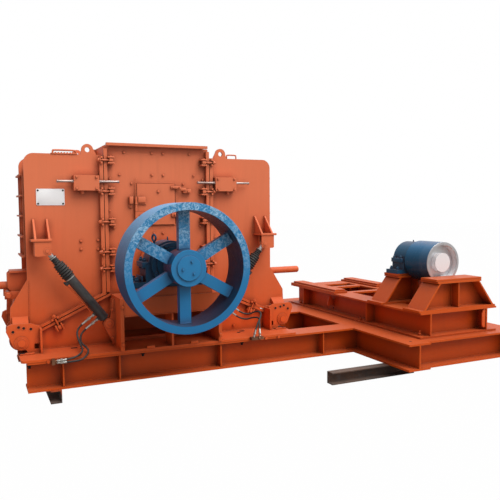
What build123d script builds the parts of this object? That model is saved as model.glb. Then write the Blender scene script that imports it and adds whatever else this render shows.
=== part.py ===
from build123d import *
import math
import os

# Reversible hammer mill with hydraulically opened side cases, on a welded base
# frame that also carries the empty motor frame and the jackshaft.
# Working frame: X = 0 on the rotor's middle plane, Y = 0 on the front faces of the
# housing's side plates, Z = 0 on the underside of the girders. Front is -Y.
# At the end every piece is moved so that the origin is the footprint's centre.

# Base frame
girder_height = 250.0
girder_width = 247.0
girder_flange = 18.0
girder_web = 14.0
stiffener_thickness = 12.0
base_girder_y = -264.5
base_girder_left = -1221.0
base_stiffeners = (-940.0, -470.0, 470.0, 1583.0)
base_plate_thickness = 20.0
base_plate_reach = 1268.0
base_plate_edge = -392.0
base_top = girder_height + base_plate_thickness
housing_depth = 600.0
middle_y = housing_depth / 2

# Cross girders under the motor frame
cross_x = 2056.5
motor_x = 2655.0
cross_front = -1258.0
front_beam_y = -1096.5
upper_beam_y = -996.5
middle_beam_y = 100.0
pad_beam_y = 1280.0
rear_beam_y = 1596.5

# Motor frame
motor_beam_offset = 354.0
motor_beam_width = 250.0
motor_beam_front = -1120.0
motor_beam_rear = 1380.0
motor_beam_top = 496.0
motor_beam_stiffeners = (-246.0, 1087.0)
pad_thickness = 20.0
saddle_depth = 240.0
saddle_plate = 20.0
saddle_foot_half = 478.0
saddle_top_half = 283.0
saddle_top = 798.0
saddle_y = (-1000.0, -426.0)

# Sleepers under the girders
sleeper_height = 110.0
sleeper_width = 90.0
sleeper_wall = 9.0

# Housing plates
plate = 25.0
gap = 8.0
apex = (470.0, 730.0)
slope_knee = (735.0, 612.0)
slope_foot = (1071.0, 457.0)
slope_end = (1150.0, 457.0)
seam_x = 502.0
case_seam_x = 508.0
flange_proud = 40.0
flange_thickness = 22.0
centre_top = 2056.0
inlet_flange_top = 2081.0
inlet_half = 430.0
case_top = 1973.0
case_edge = 1173.0
case_corner = 82.0
bulge_top = (1173.0, 885.0)
bulge_knee = (1316.0, 650.0)
bulge_foot = (1322.0, 512.0)
wall_recess = 48.0

# Hinge of the cases, and their cylinders
hinge_pin = (1243.0, 365.0)
hinge_pin_radius = 30.0
running_gap = 1.0
case_swing = 40.0
ear_top = 500.0
cylinder_y = -158.0
cylinder_foot = (516.0, 480.0)
rod_pin = (1020.0, 1139.0)
barrel_radius = 42.0
rod_radius = 22.0
eye_radius = 34.0
eye_width = 40.0
clevis_plate = 12.0
barrel_start = 60.0
barrel_end = 520.0
gland_end = 535.0
bellows_end = 762.0
union_places = (146.0, 93.0)
union_radius = 8.5
union_reach = 154.0
fitting_length = 78.0
block_front = -440.0

# Hydraulic hoses from the unions on the barrels to the fittings on the base plate
hose_radius = 8.0
hose_first_run = 60.0
left_upper_route = (
    (-800, -184, 416), (-789, -242, 360), (-779, -301, 324), (-779, -368, 302), (-817, -417, 279),
    (-879, -430, 261), (-944, -425, 256),
)
left_lower_route = (
    (-769, -182, 383), (-770, -234, 336), (-728, -339, 309), (-743, -405, 279), (-797, -441, 245),
    (-872, -438, 236), (-944, -425, 236),
)
right_upper_route = (
    (843, -182, 457), (898, -232, 468), (911, -302, 458), (879, -362, 429), (830, -398, 385),
    (803, -410, 318),
)
right_lower_route = (
    (812, -184, 411), (868, -233, 410), (890, -304, 404), (871, -372, 381), (852, -408, 322),
)

# Rotor, its pulley and its bearings
axis_height = 1002.0
shaft_radius = 95.0
shaft_rear = 1010.0
pulley_radius = 536.0
pulley_rim = 63.0
pulley_front = -890.0
pulley_rear = -564.0
hub_radius = 139.0
hub_front = -865.0
hub_rear = -646.0
spoke_count = 6
spoke_width = 97.0
spoke_front = -760.0
spoke_rear = -695.0
disc_radius = 430.0
disc_width = 36.0
disc_count = 5
hammer_reach = 560.0
hammer_rows = 4

# Inspection door in the front panel
door_left = -207.0
door_right = 165.0
door_bottom = 1342.0
door_top = 1722.0
door_thickness = 14.0
door_hinge = (-214.0, -26.0)
door_hole_centre = ((door_left + door_right) / 2 + 10, (door_bottom + door_top) / 2)
door_hole_size = (290.0, 300.0)

# Pedestals under the rotor's bearings
pedestal_front = -412.0
pedestal_half = 465.0
pedestal_side = 30.0
pedestal_opening_top = 570.0
window_bottom = 300.0
window_half = 420.0
table_height = 700.0
seat_height = 800.0
seat_half = 380.0

# Jackshaft
jack_height = 932.0
jack_shaft_radius = 55.0
jack_pulley_radius = 205.0
jack_pulley_front = -880.0
jack_pulley_rear = -551.0

mirror_middle = Plane.XZ.offset(-middle_y)
left_end = -1667.0
right_end = motor_x * 2 - cross_x + girder_width / 2
to_datum = Pos(-(left_end + right_end) / 2, -middle_y, sleeper_height)


def facing_front(y):
    """Plane at depth y, with X to the right and Z up; extrusion goes to the front."""
    return Plane.XZ.offset(-y)


def save(piece, name):
    """Move a finished piece to the shared origin, label it and write it."""
    moved = to_datum * piece
    moved.label = name
    export_step(moved, f"parts/{name}.step")


def left_of(piece):
    """The mirrored piece on the left of the rotor."""
    return mirror(piece, about=Plane.YZ)


def rear_of(piece):
    """The mirrored piece at the rear of the housing."""
    return mirror(piece, about=mirror_middle)


def i_section(centre, bottom, width, height):
    """An I-section drawn into the current sketch, upright on its second axis."""
    for level in (bottom + girder_flange / 2, bottom + height - girder_flange / 2):
        with Locations((centre, level)):
            Rectangle(width, girder_flange)
    with Locations((centre, bottom + height / 2)):
        Rectangle(girder_web, height)


def beam_along_x(x_start, x_end, y, stiffeners, bottom=0.0, height=girder_height,
                 width=girder_width):
    """I-beam lying along X, with web stiffeners at the given places."""
    with BuildPart() as beam:
        with BuildSketch(Plane.YZ.offset(x_start)):
            i_section(y, bottom, width, height)
        extrude(amount=x_end - x_start)
        for x in stiffeners:
            with Locations((x, y, bottom + height / 2)):
                Box(stiffener_thickness, width - 30.0, height - girder_flange)
    return beam.part


def beam_along_y(y_start, y_end, x, stiffeners, bottom=0.0, height=girder_height,
                 width=girder_width):
    """I-beam lying along Y, with web stiffeners at the given places."""
    with BuildPart() as beam:
        with BuildSketch(facing_front(y_end)):
            i_section(x, bottom, width, height)
        extrude(amount=y_end - y_start)
        for y in stiffeners:
            with Locations((x, y, bottom + height / 2)):
                Box(width - 30.0, stiffener_thickness, height - girder_flange)
    return beam.part


def base_girder():
    """Long front girder; its web runs on to the web of the cross girder."""
    tongue = cross_x - girder_web / 2
    start = cross_x - girder_width / 2
    with BuildPart() as girder:
        add(beam_along_x(base_girder_left, start, base_girder_y, base_stiffeners))
        with Locations(((start + tongue) / 2, base_girder_y, girder_height / 2)):
            Box(tongue - start, girder_web, girder_height - 2 * girder_flange)
    return girder.part


def front_cross_beam(x_start, x_end):
    """Front beam; its web runs on to the webs of the two cross girders."""
    reach = motor_x - cross_x - girder_web / 2
    with BuildPart() as beam:
        add(beam_along_x(x_start, x_end, front_beam_y, ()))
        with Locations((motor_x, front_beam_y, girder_height / 2)):
            Box(2 * reach, girder_web, girder_height - 2 * girder_flange)
    return beam.part


def base_plate():
    """Plate on the front girder, between the girder's edge and the housing's side."""
    with BuildPart() as base:
        with Locations((0, (base_plate_edge + plate) / 2, girder_height + base_plate_thickness / 2)):
            Box(2 * base_plate_reach, plate - base_plate_edge, base_plate_thickness)
        corners = base.edges().filter_by(Axis.Z).group_by(Axis.Y)[0]
        fillet(corners, radius=35)
    return base.part


def lower_side(has_window):
    """Lower side plate with the sloping seam flange, its cap and the hinge ears."""
    px, pz = hinge_pin
    cap = (apex, (345, 668), (352, 650), (430, 702), (apex[0], 712))
    with BuildPart() as side:
        with BuildSketch(facing_front(plate)):
            with BuildLine():
                Polyline(
                    (-slope_end[0], base_top), (-slope_end[0], slope_end[1]),
                    (-slope_foot[0], slope_foot[1]), (-slope_knee[0], slope_knee[1]),
                    (-apex[0], apex[1]), apex, slope_knee, slope_foot, slope_end,
                    (slope_end[0], base_top), close=True,
                )
            make_face()
            for ear_x in (-px, px):
                with Locations((ear_x, pz)):
                    Circle(90)
                with Locations(((ear_x + math.copysign(1100, ear_x)) / 2, (pz + base_top) / 2)):
                    Rectangle(abs(px - 1100), pz - base_top)
        extrude(amount=plate)
        with BuildSketch(facing_front(0)):
            with BuildLine():
                path = Polyline(slope_end, slope_foot, slope_knee, apex)
            trace(path, line_width=2 * flange_thickness)
            mirror(about=Plane.YZ)
        extrude(amount=flange_proud)
        keep_below = [
            slope_end, slope_foot, slope_knee, apex,
            (-apex[0], apex[1]), (-slope_knee[0], slope_knee[1]),
            (-slope_foot[0], slope_foot[1]), (-slope_end[0], slope_end[1]),
        ]
        with BuildSketch(facing_front(0)):
            with BuildLine():
                Polyline(*keep_below, (-1300, slope_end[1]), (-1300, 900), (1300, 900),
                         (1300, slope_end[1]), close=True)
            make_face()
        extrude(amount=flange_proud, mode=Mode.SUBTRACT)
        with BuildSketch(facing_front(0)):
            with BuildLine():
                Polyline(*cap, close=True)
            make_face()
            mirror(about=Plane.YZ)
        extrude(amount=flange_proud)
        if has_window:
            with BuildSketch(facing_front(plate)):
                with Locations((0, (window_bottom + pedestal_opening_top) / 2)):
                    Rectangle(2 * window_half, pedestal_opening_top - window_bottom)
            extrude(amount=plate, mode=Mode.SUBTRACT)
    return side.part


def lower_ends():
    """End plates of the lower housing, between its side plates."""
    with BuildPart() as ends:
        with Locations((-1090, middle_y, 355), (1090, middle_y, 355)):
            Box(20, housing_depth - 2 * plate, 2 * (355 - girder_height - base_plate_thickness))
        with Locations((-1090, middle_y, 260), (1090, middle_y, 260)):
            Box(200, housing_depth - 2 * plate, base_plate_thickness)
    return ends.part


def hose(route):
    """Hose along straight runs that are joined by arcs as large as the runs allow."""
    corners = [Vector(*point) for point in route]
    radii = []
    for before, here, after in zip(corners, corners[1:], corners[2:]):
        arriving = here - before
        leaving = after - here
        turn = math.radians(arriving.get_angle(leaving))
        radii.append(0.45 * min(arriving.length, leaving.length) / math.tan(turn / 2))
    print("hose radii", [round(radius) for radius in radii])
    with BuildPart() as tube:
        with BuildLine() as run:
            FilletPolyline(*route, radius=radii)
        with BuildSketch(Plane(origin=run.line @ 0, z_dir=run.line % 0)):
            Circle(hose_radius)
        sweep()
    length = sum(edge.length for edge in run.edges())
    print("hose length", round(length), "volume share",
          round(tube.part.volume / (math.pi * hose_radius ** 2 * length), 4))
    return tube.part


def hose_fittings():
    """Front fittings and their blocks on the base plate's edge, where the hoses end."""
    blocks = ((left_upper_route, left_lower_route, (-1024, 247), (24, 46)),
              (right_upper_route, right_lower_route, (818, 262), (124, 24)))
    with BuildPart() as fittings:
        for upper, lower, (x, z), (width, height) in blocks:
            for route in (upper, lower):
                end = Vector(*route[-1])
                axis = end - Vector(*route[-2])
                with BuildSketch(Plane(origin=end, z_dir=axis.normalized())):
                    Circle(union_radius)
                extrude(amount=fitting_length)
            with Locations((x, (block_front + base_plate_edge) / 2, z)):
                Box(width, base_plate_edge - block_front, height)
    return fittings.part


def hinge_bracket():
    """Front hinge bracket on the right: bolted plate, its post and the hinge pin."""
    px, pz = hinge_pin
    front = -125.0
    thickness = 28.0
    with BuildPart() as bracket:
        with BuildSketch(facing_front(front + thickness)):
            with BuildLine():
                Polyline((1096, base_top), (1192, base_top), (1204, 300), (1301, 322),
                         (1362, 467), (1352, 513), (1322, 528), (1163, 524), (1096, 496),
                         close=True)
            make_face()
            with Locations((px, pz)):
                Circle(66)
            with Locations((1118, 328)):
                Rectangle(46, 46, mode=Mode.SUBTRACT)
        extrude(amount=thickness)
        with BuildSketch(facing_front(front)):
            with Locations((px, pz)):
                Circle(56)
        extrude(amount=9)
        with BuildSketch(facing_front(0)):
            with Locations((px, pz)):
                Circle(hinge_pin_radius)
        extrude(amount=-front + 22)
        with Locations((1088, -113, (base_top + 481) / 2)):
            Box(16, 130, 481 - base_top)
        with Locations((1088, -24, (base_top + 425) / 2)):
            Box(16, 48, 425 - base_top)
    return bracket.part


def pedestal():
    """Front bearing pedestal with its cylinder brackets."""
    lug_planes = (cylinder_y - eye_width / 2 - 2, cylinder_y + eye_width / 2 + 2 + clevis_plate)
    with BuildPart() as stand:
        for x in (-pedestal_half + pedestal_side / 2, pedestal_half - pedestal_side / 2):
            with Locations((x, pedestal_front / 2, (base_top + table_height) / 2)):
                Box(pedestal_side, -pedestal_front, table_height - base_top)
        with BuildSketch(facing_front(pedestal_front + 20)):
            with Locations((0, (pedestal_opening_top + table_height) / 2)):
                Rectangle(2 * pedestal_half, table_height - pedestal_opening_top)
        extrude(amount=20)
        with Locations((0, pedestal_front / 2 - 20, table_height + 11)):
            Box(2 * pedestal_half, -pedestal_front - 40, 22)
        with Locations((0, (pedestal_front - 150) / 2 + 6, (table_height + 22 + seat_height) / 2)):
            Box(2 * seat_half, -pedestal_front - 162, seat_height - table_height - 22)
        with Locations((0, -300, (base_top + table_height) / 2)):
            Box(16, 200, table_height - base_top)
        for y in lug_planes:
            with BuildSketch(facing_front(y)):
                with BuildLine():
                    Polyline((pedestal_half, 300), (486, 306), (556, 448), cylinder_foot,
                             (500, 575), (486, 695), (pedestal_half, 695), close=True)
                make_face()
                with Locations(cylinder_foot):
                    Circle(50)
                mirror(about=Plane.YZ)
            extrude(amount=clevis_plate)
        with BuildSketch(facing_front(lug_planes[1])):
            for x in (-cylinder_foot[0], cylinder_foot[0]):
                with Locations((x, cylinder_foot[1])):
                    Circle(18)
        extrude(amount=lug_planes[1] - lug_planes[0] + clevis_plate + 6)
    return stand.part


def bearing():
    """Split plummer block at the front of the rotor."""
    foot_top = seat_height + 52
    with BuildPart() as block:
        with BuildSketch(facing_front(-180)):
            with Locations((0, axis_height)):
                Circle(205)
            with Locations((0, (seat_height + axis_height) / 2)):
                Rectangle(2 * 232, axis_height - seat_height)
            with Locations((0, (seat_height + foot_top) / 2)):
                Rectangle(2 * 346, foot_top - seat_height)
        extrude(amount=210)
        with Locations((0, -285, seat_height - 50)):
            Box(500, 230, 100, mode=Mode.SUBTRACT)
        with BuildSketch(facing_front(-388)):
            with Locations((0, axis_height)):
                Circle(188)
        extrude(amount=62)
        with BuildSketch(facing_front(-450)):
            with Locations((0, axis_height)):
                Circle(150)
        extrude(amount=22)
        with BuildSketch(facing_front(0)):
            with Locations((0, axis_height)):
                Circle(shaft_radius + running_gap)
        extrude(amount=600, mode=Mode.SUBTRACT)
    return block.part


def centre_panel(has_door):
    """Fixed panel between the cases, with its seam bars and shaft seal."""
    with BuildPart() as panel:
        with BuildSketch(facing_front(plate)):
            with Locations((0, (apex[1] + centre_top) / 2)):
                Rectangle(2 * seam_x, centre_top - apex[1])
        extrude(amount=plate)
        for x in (-seam_x + 15.5, seam_x - 15.5):
            with Locations((x, -flange_proud / 2, (apex[1] + 2030) / 2 + 5)):
                Box(31, flange_proud, 2030 - apex[1] - 10)
        with BuildSketch(facing_front(0)):
            with Locations((0, axis_height)):
                Circle(190)
        extrude(amount=60)
        with BuildSketch(facing_front(plate)):
            with Locations((0, axis_height)):
                Circle(shaft_radius + 8)
        extrude(amount=120, mode=Mode.SUBTRACT)
        if has_door:
            with BuildSketch(facing_front(plate)):
                with Locations(door_hole_centre):
                    Rectangle(*door_hole_size)
            extrude(amount=plate, mode=Mode.SUBTRACT)
            with Locations((door_hinge[0], door_hinge[1], 1495.5)):
                Cylinder(12, 61)
            with Locations((door_hinge[0], door_hinge[1] / 2, 1495.5)):
                Box(16, -door_hinge[1], 61)
    return panel.part


def inspection_door():
    """Inspection door with its hinge straps, hung on the front panel."""
    hx, hy = door_hinge
    with BuildPart() as door:
        with BuildSketch(facing_front(-6)):
            with Locations(((door_left + door_right) / 2, (door_bottom + door_top) / 2)):
                Rectangle(door_right - door_left - 12, door_top - door_bottom)
        extrude(amount=door_thickness)
        for z in (1430.0, 1561.0):
            with Locations(((hx + door_left + 90) / 2, -26, z)):
                Box(door_left + 90 - hx, 12, 62)
            with Locations((hx, hy, z)):
                Cylinder(13, 62)
    return door.part


def inlet_frame():
    """Feed inlet: four walls and the flange round them."""
    z_mid = (centre_top + 1930) / 2
    with BuildPart() as inlet:
        for x in (-inlet_half - 10, inlet_half + 10):
            with Locations((x, middle_y, z_mid)):
                Box(20, housing_depth - 2 * plate, centre_top - 1930)
        with BuildSketch(Plane.XY.offset(centre_top)):
            with Locations((0, middle_y)):
                Rectangle(2 * inlet_half + 40, housing_depth + 120)
                Rectangle(2 * inlet_half, housing_depth - 2 * plate, mode=Mode.SUBTRACT)
            for y in (-42, housing_depth + 42):
                with Locations((0, y)):
                    Rectangle(2 * seam_x - 44, 36)
        extrude(amount=inlet_flange_top - centre_top)
    return inlet.part


def case_side():
    """Right case's front side plate with its ribs, cylinder bracket and flanges."""
    px, pz = hinge_pin
    slope = (apex[1] - slope_knee[1]) / (slope_knee[0] - apex[0])
    seam_foot = apex[1] - (case_seam_x - apex[0]) * slope + gap
    case_knee = (slope_knee[0] + 2, slope_knee[1] + gap)
    case_foot = (slope_foot[0] + 2, slope_foot[1] + gap)
    case_end = (1158.0, 470.0)
    with BuildPart() as side:
        with BuildSketch(facing_front(plate)):
            with BuildLine():
                Polyline(
                    (case_edge, case_top - case_corner), bulge_top, bulge_knee, bulge_foot,
                    (1160, bulge_foot[1]), case_end, case_foot, case_knee,
                    (case_seam_x, seam_foot), (case_seam_x, case_top),
                    (case_edge - case_corner, case_top),
                )
                RadiusArc((case_edge - case_corner, case_top),
                          (case_edge, case_top - case_corner), case_corner)
            make_face()
            with BuildLine():
                Polyline((530, case_top - 10), (560, case_top), (592, 2040), (680, 2040),
                         (699, case_top), (699, case_top - 10), close=True)
            make_face()
            with Locations((636, 2016)):
                Circle(51)
                Circle(22, mode=Mode.SUBTRACT)
        extrude(amount=plate)
        with BuildSketch(facing_front(0)):
            with BuildLine():
                path = Polyline(case_end, case_foot, case_knee, (case_seam_x, seam_foot))
            trace(path, line_width=2 * flange_thickness)
            with Locations((case_seam_x + 16, (seam_foot + 1960) / 2)):
                Rectangle(32, 1960 - seam_foot)
        extrude(amount=flange_proud)
        with BuildSketch(facing_front(0)):
            with BuildLine():
                Polyline(case_end, case_foot, case_knee, (case_seam_x, seam_foot),
                         (400, seam_foot), (400, 400), (1200, 400), (1200, case_end[1]),
                         close=True)
            make_face()
        extrude(amount=flange_proud, mode=Mode.SUBTRACT)
        shelf_depth = -cylinder_y + eye_width / 2 + 2 + clevis_plate
        for x in (990, 1102):
            with BuildSketch(Plane.YZ.offset(x)):
                with BuildLine():
                    Polyline((0, 1229), (-shelf_depth + 2, 1229), (-14, 1408), (0, 1408),
                             close=True)
                make_face()
            extrude(amount=16)
        with Locations(((980 + 1145) / 2, -shelf_depth / 2, 1229)):
            Box(1145 - 980, shelf_depth, 16)
        with Locations((1112, -shelf_depth / 2, (1106 + 1221) / 2)):
            Box(16, shelf_depth, 1221 - 1090)
        for y in (-shelf_depth + clevis_plate, cylinder_y + eye_width / 2 + 2 + clevis_plate):
            with BuildSketch(facing_front(y)):
                with BuildLine():
                    Polyline((986, 1221), (986, 1104), (1106, 1093), (1106, 1221), close=True)
                make_face()
            extrude(amount=clevis_plate)
        with Locations((661, -40, 1720)):
            Box(218, 80, 133)
        with BuildSketch(Plane.YZ.offset(379)):
            with Locations((-56, 1733)):
                Circle(9)
        extrude(amount=904 - 379)
        with BuildSketch(facing_front(-gap)):
            with BuildLine():
                Polyline((px - 62, pz), (px - 66, ear_top), (px + 62, ear_top), (px + 62, pz),
                         close=True)
            make_face()
            with Locations((px, pz)):
                Circle(68)
                Circle(hinge_pin_radius + running_gap, mode=Mode.SUBTRACT)
        extrude(amount=90 - gap)
        with BuildSketch(Plane.YZ.offset(px - 66)):
            with BuildLine():
                Polyline((0, bulge_foot[1] + 6), (-gap, bulge_foot[1] + 6), (-gap, ear_top),
                         (-90, ear_top), (0, ear_top + 70), close=True)
            make_face()
        extrude(amount=128)
    return side.part


def case_wrap(tie_reach, tie_top):
    """Right case's folded plate: top, end wall and slanted bulge, with the ram boss."""
    depth = housing_depth - 2 * plate
    edge = case_edge - wall_recess
    with BuildPart() as wrap:
        with BuildSketch(facing_front(housing_depth - plate)):
            with BuildLine():
                path = Polyline((case_seam_x, 1938), (edge - 55, 1938), (edge - 10, 1893),
                                (edge - 10, 872), (1262, 640), (1266, 547), (1180, 547))
            trace(path, line_width=20)
        extrude(amount=depth)
        with Locations((1165, middle_y, 1435)):
            Box(80, 480, 14)
        for z in (1078, 1255, 1612, 1792):
            with Locations((1165, middle_y, z)):
                Box(80, 480, 14)
        for y in (middle_y - 240, middle_y, middle_y + 240):
            with Locations((1155, y, 1435)):
                Box(60, 14, 714)
        for y in (middle_y - 60, middle_y + 60):
            with BuildSketch(facing_front(y + 10)):
                with BuildLine():
                    Polyline((edge, tie_top), (edge, 860), (1240, 700), (tie_reach, 800),
                             (tie_reach, tie_top - 30), (tie_reach - 30, tie_top), close=True)
                make_face()
            extrude(amount=20)
        with Locations(((edge + tie_reach - 20) / 2, middle_y, tie_top - 10)):
            Box(tie_reach - 20 - edge, 200, 16)
        with BuildSketch(Plane.YZ.offset(edge)):
            with Locations((middle_y, 815)):
                Circle(35)
        extrude(amount=-left_end - edge)
        rim = wrap.faces().sort_by(Axis.X)[-1].edges()
        fillet(rim, radius=20)
    return wrap.part


def breaker_plate():
    """Curved breaker plate inside the right case, with its two carrying ribs."""
    inner = 640.0
    outer = 690.0
    low_angle = -12.0
    high_angle = 50.0
    wall_x = case_edge - wall_recess - 20
    with BuildPart() as breaker:
        with BuildSketch(facing_front(middle_y + 250)):
            with Locations((0, axis_height)):
                Circle(outer)
                Circle(inner, mode=Mode.SUBTRACT)
            with BuildLine():
                Polyline((0, axis_height),
                         (900 * math.cos(math.radians(low_angle)),
                          axis_height + 900 * math.sin(math.radians(low_angle))),
                         (1100, 1500),
                         (1100 * math.cos(math.radians(high_angle)),
                          axis_height + 1100 * math.sin(math.radians(high_angle))),
                         close=True)
            make_face(mode=Mode.INTERSECT)
        extrude(amount=500)
        for y in (middle_y - 180, middle_y + 180):
            with BuildSketch(facing_front(y + 10)):
                with BuildLine():
                    Polyline((660, 1000), (wall_x, 930), (wall_x, 1400), (560, 1400), close=True)
                make_face()
                with Locations((0, axis_height)):
                    Circle(outer - 10, mode=Mode.SUBTRACT)
            extrude(amount=20)
    return breaker.part


def cylinder_frame():
    """Plane at the cylinder's foot pin with its normal along the closed cylinder."""
    run = Vector(rod_pin[0] - cylinder_foot[0], 0, rod_pin[1] - cylinder_foot[1])
    return Plane(origin=(cylinder_foot[0], cylinder_y, cylinder_foot[1]),
                 x_dir=(0, 1, 0), z_dir=run.normalized())


def union_plane(along):
    """Plane on the cylinder's axis whose normal points out of its lower side."""
    base = cylinder_frame()
    return Plane(origin=base.origin + base.z_dir * along, x_dir=(0, 1, 0),
                 z_dir=(base.z_dir.Z, 0, -base.z_dir.X))


def from_union(along, side, route):
    """Route of a hose from its union, straight out at first; side is -1 on the left."""
    plane = union_plane(along)
    start = plane.origin + plane.z_dir * union_reach
    next_corner = start + plane.z_dir * hose_first_run
    return [(side * start.X, start.Y, start.Z), (side * next_corner.X, start.Y, next_corner.Z),
            *route]


cylinder_length = math.dist(cylinder_foot, rod_pin)


def cylinder_barrel():
    """Right front barrel with its foot eye and gland ring."""
    base = cylinder_frame()
    with BuildPart() as barrel:
        with BuildSketch(facing_front(cylinder_y + eye_width / 2)):
            with Locations(cylinder_foot):
                Circle(eye_radius)
                Circle(18 + running_gap, mode=Mode.SUBTRACT)
        extrude(amount=eye_width)
        with BuildSketch(base.offset(eye_radius - 6)):
            Rectangle(eye_width, 40)
        extrude(amount=barrel_start - eye_radius + 10)
        with BuildSketch(base.offset(barrel_start)):
            Circle(barrel_radius)
        extrude(amount=barrel_end - barrel_start)
        with BuildSketch(base.offset(barrel_end)):
            Circle(barrel_radius + 4)
        extrude(amount=gland_end - barrel_end)
        for along in union_places:
            with BuildSketch(union_plane(along).offset(barrel_radius - 8)):
                Circle(union_radius)
            extrude(amount=union_reach - barrel_radius + 8)
        with BuildSketch(base.offset(barrel_start + 30)):
            Circle(rod_radius + 4)
        extrude(amount=gland_end - barrel_start, mode=Mode.SUBTRACT)
    return barrel.part


def cylinder_rod():
    """Right front piston rod with its end eye."""
    base = cylinder_frame()
    with BuildPart() as rod:
        with BuildSketch(base.offset(barrel_start + 40)):
            Circle(rod_radius)
        extrude(amount=cylinder_length - barrel_start - 40)
        with BuildSketch(facing_front(cylinder_y + eye_width / 2)):
            with Locations(rod_pin):
                Circle(eye_radius)
        extrude(amount=eye_width)
    return rod.part


def bellows():
    """Rubber bellows over the right front rod, in its closed length."""
    base = cylinder_frame()
    folds = 9
    pitch = (bellows_end - gland_end) / folds
    profile_plane = Plane(origin=base.origin, x_dir=base.x_dir, z_dir=-base.y_dir)
    crests = []
    for fold in range(folds):
        start = gland_end + fold * pitch
        crests += [(40, start), (54 - fold * 1.6, start + pitch / 2)]
    with BuildPart() as gaiter:
        with BuildSketch(profile_plane):
            with BuildLine():
                Polyline((rod_radius + 4, gland_end), *crests, (36, bellows_end),
                         (rod_radius + 4, bellows_end), close=True)
            make_face()
        revolve(axis=Axis(base.origin, base.z_dir))
    return gaiter.part


def nameplate():
    """Bare name plate on the left case."""
    with BuildPart() as tag:
        with BuildSketch(facing_front(0)):
            with Locations((-960, 1597)):
                RectangleRounded(236, 143, 10)
        extrude(amount=4)
    return tag.part


def mill_pulley():
    """Six-spoke driven pulley on the rotor shaft."""
    with BuildPart() as pulley:
        with BuildSketch(facing_front(pulley_rear)):
            with Locations((0, axis_height)):
                Circle(pulley_radius)
                Circle(pulley_radius - pulley_rim, mode=Mode.SUBTRACT)
        extrude(amount=pulley_rear - pulley_front)
        with BuildSketch(facing_front(spoke_rear)):
            with Locations((0, axis_height)):
                with PolarLocations(0, spoke_count, 30):
                    with Locations(((pulley_radius - pulley_rim + 110) / 2, 0)):
                        Rectangle(pulley_radius - pulley_rim - 90, spoke_width)
        extrude(amount=spoke_rear - spoke_front)
        with BuildSketch(facing_front(hub_rear)):
            with Locations((0, axis_height)):
                Circle(hub_radius)
        extrude(amount=hub_rear - hub_front)
        with BuildSketch(facing_front(hub_front)):
            with Locations((0, axis_height)):
                Circle(100)
        extrude(amount=13)
    return pulley.part


def rotor_core():
    """Rotor shaft with its discs, turned as one profile."""
    first = middle_y - 210
    pitch = 420 / (disc_count - 1)
    outline = [(0, hub_rear), (shaft_radius, hub_rear)]
    for disc in range(disc_count):
        centre = first + disc * pitch
        outline += [(shaft_radius, centre - disc_width / 2), (disc_radius, centre - disc_width / 2),
                    (disc_radius, centre + disc_width / 2), (shaft_radius, centre + disc_width / 2)]
    outline += [(shaft_radius, shaft_rear), (0, shaft_rear)]
    profile_plane = Plane(origin=(0, 0, axis_height), x_dir=(1, 0, 0), z_dir=(0, 0, 1))
    with BuildPart() as core:
        with BuildSketch(profile_plane):
            with BuildLine():
                Polyline(*outline, close=True)
            make_face()
        revolve(axis=Axis((0, 0, axis_height), (0, 1, 0)))
    return core.part


def hammers():
    """Hammers on their pins, between the discs."""
    first = middle_y - 210
    pitch = 420 / (disc_count - 1)
    with BuildPart() as set_of_hammers:
        for bay in range(disc_count - 1):
            rear = first + (bay + 1) * pitch - disc_width / 2
            with BuildSketch(facing_front(rear)):
                with Locations((0, axis_height)):
                    with PolarLocations(375, hammer_rows, 45):
                        Circle(24)
            extrude(amount=pitch - disc_width)
            with BuildSketch(facing_front(rear - 8)):
                with Locations((0, axis_height)):
                    with PolarLocations(hammer_reach - 120, hammer_rows, 45):
                        Rectangle(240, 76)
            extrude(amount=pitch - disc_width - 16)
    return set_of_hammers.part


def motor_crossbeams():
    """Front and rear cross beams between the motor frame's long beams."""
    inner = motor_beam_offset - motor_beam_width / 2
    web_inner = motor_beam_offset - girder_web / 2
    height = motor_beam_top - girder_height
    with BuildPart() as beams:
        for y in (upper_beam_y, 1235.0):
            add(beam_along_x(motor_x - inner, motor_x + inner, y, (), girder_height, height))
            with Locations((motor_x, y, girder_height + height / 2)):
                Box(2 * web_inner, girder_web, height - 2 * girder_flange)
    return beams.part


def motor_pads():
    """Stacked pads for the missing motor, and the flat bars across the frame."""
    with BuildPart() as pads:
        for x, y_start in ((2266.5, 352.0), (3041.5, 590.0)):
            with Locations((x, (y_start + 1380) / 2, motor_beam_top + pad_thickness / 2)):
                Box(182, 1380 - y_start, pad_thickness)
            with Locations((x + 6, (y_start + 1380) / 2, motor_beam_top + 1.5 * pad_thickness)):
                Box(140, 1380 - y_start - 50, pad_thickness)
        for y in (400.0, 880.0):
            with Locations((2655, y, motor_beam_top - pad_thickness / 2)):
                Box(2 * (motor_beam_offset - motor_beam_width / 2), 90, pad_thickness)
    return pads.part


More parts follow.
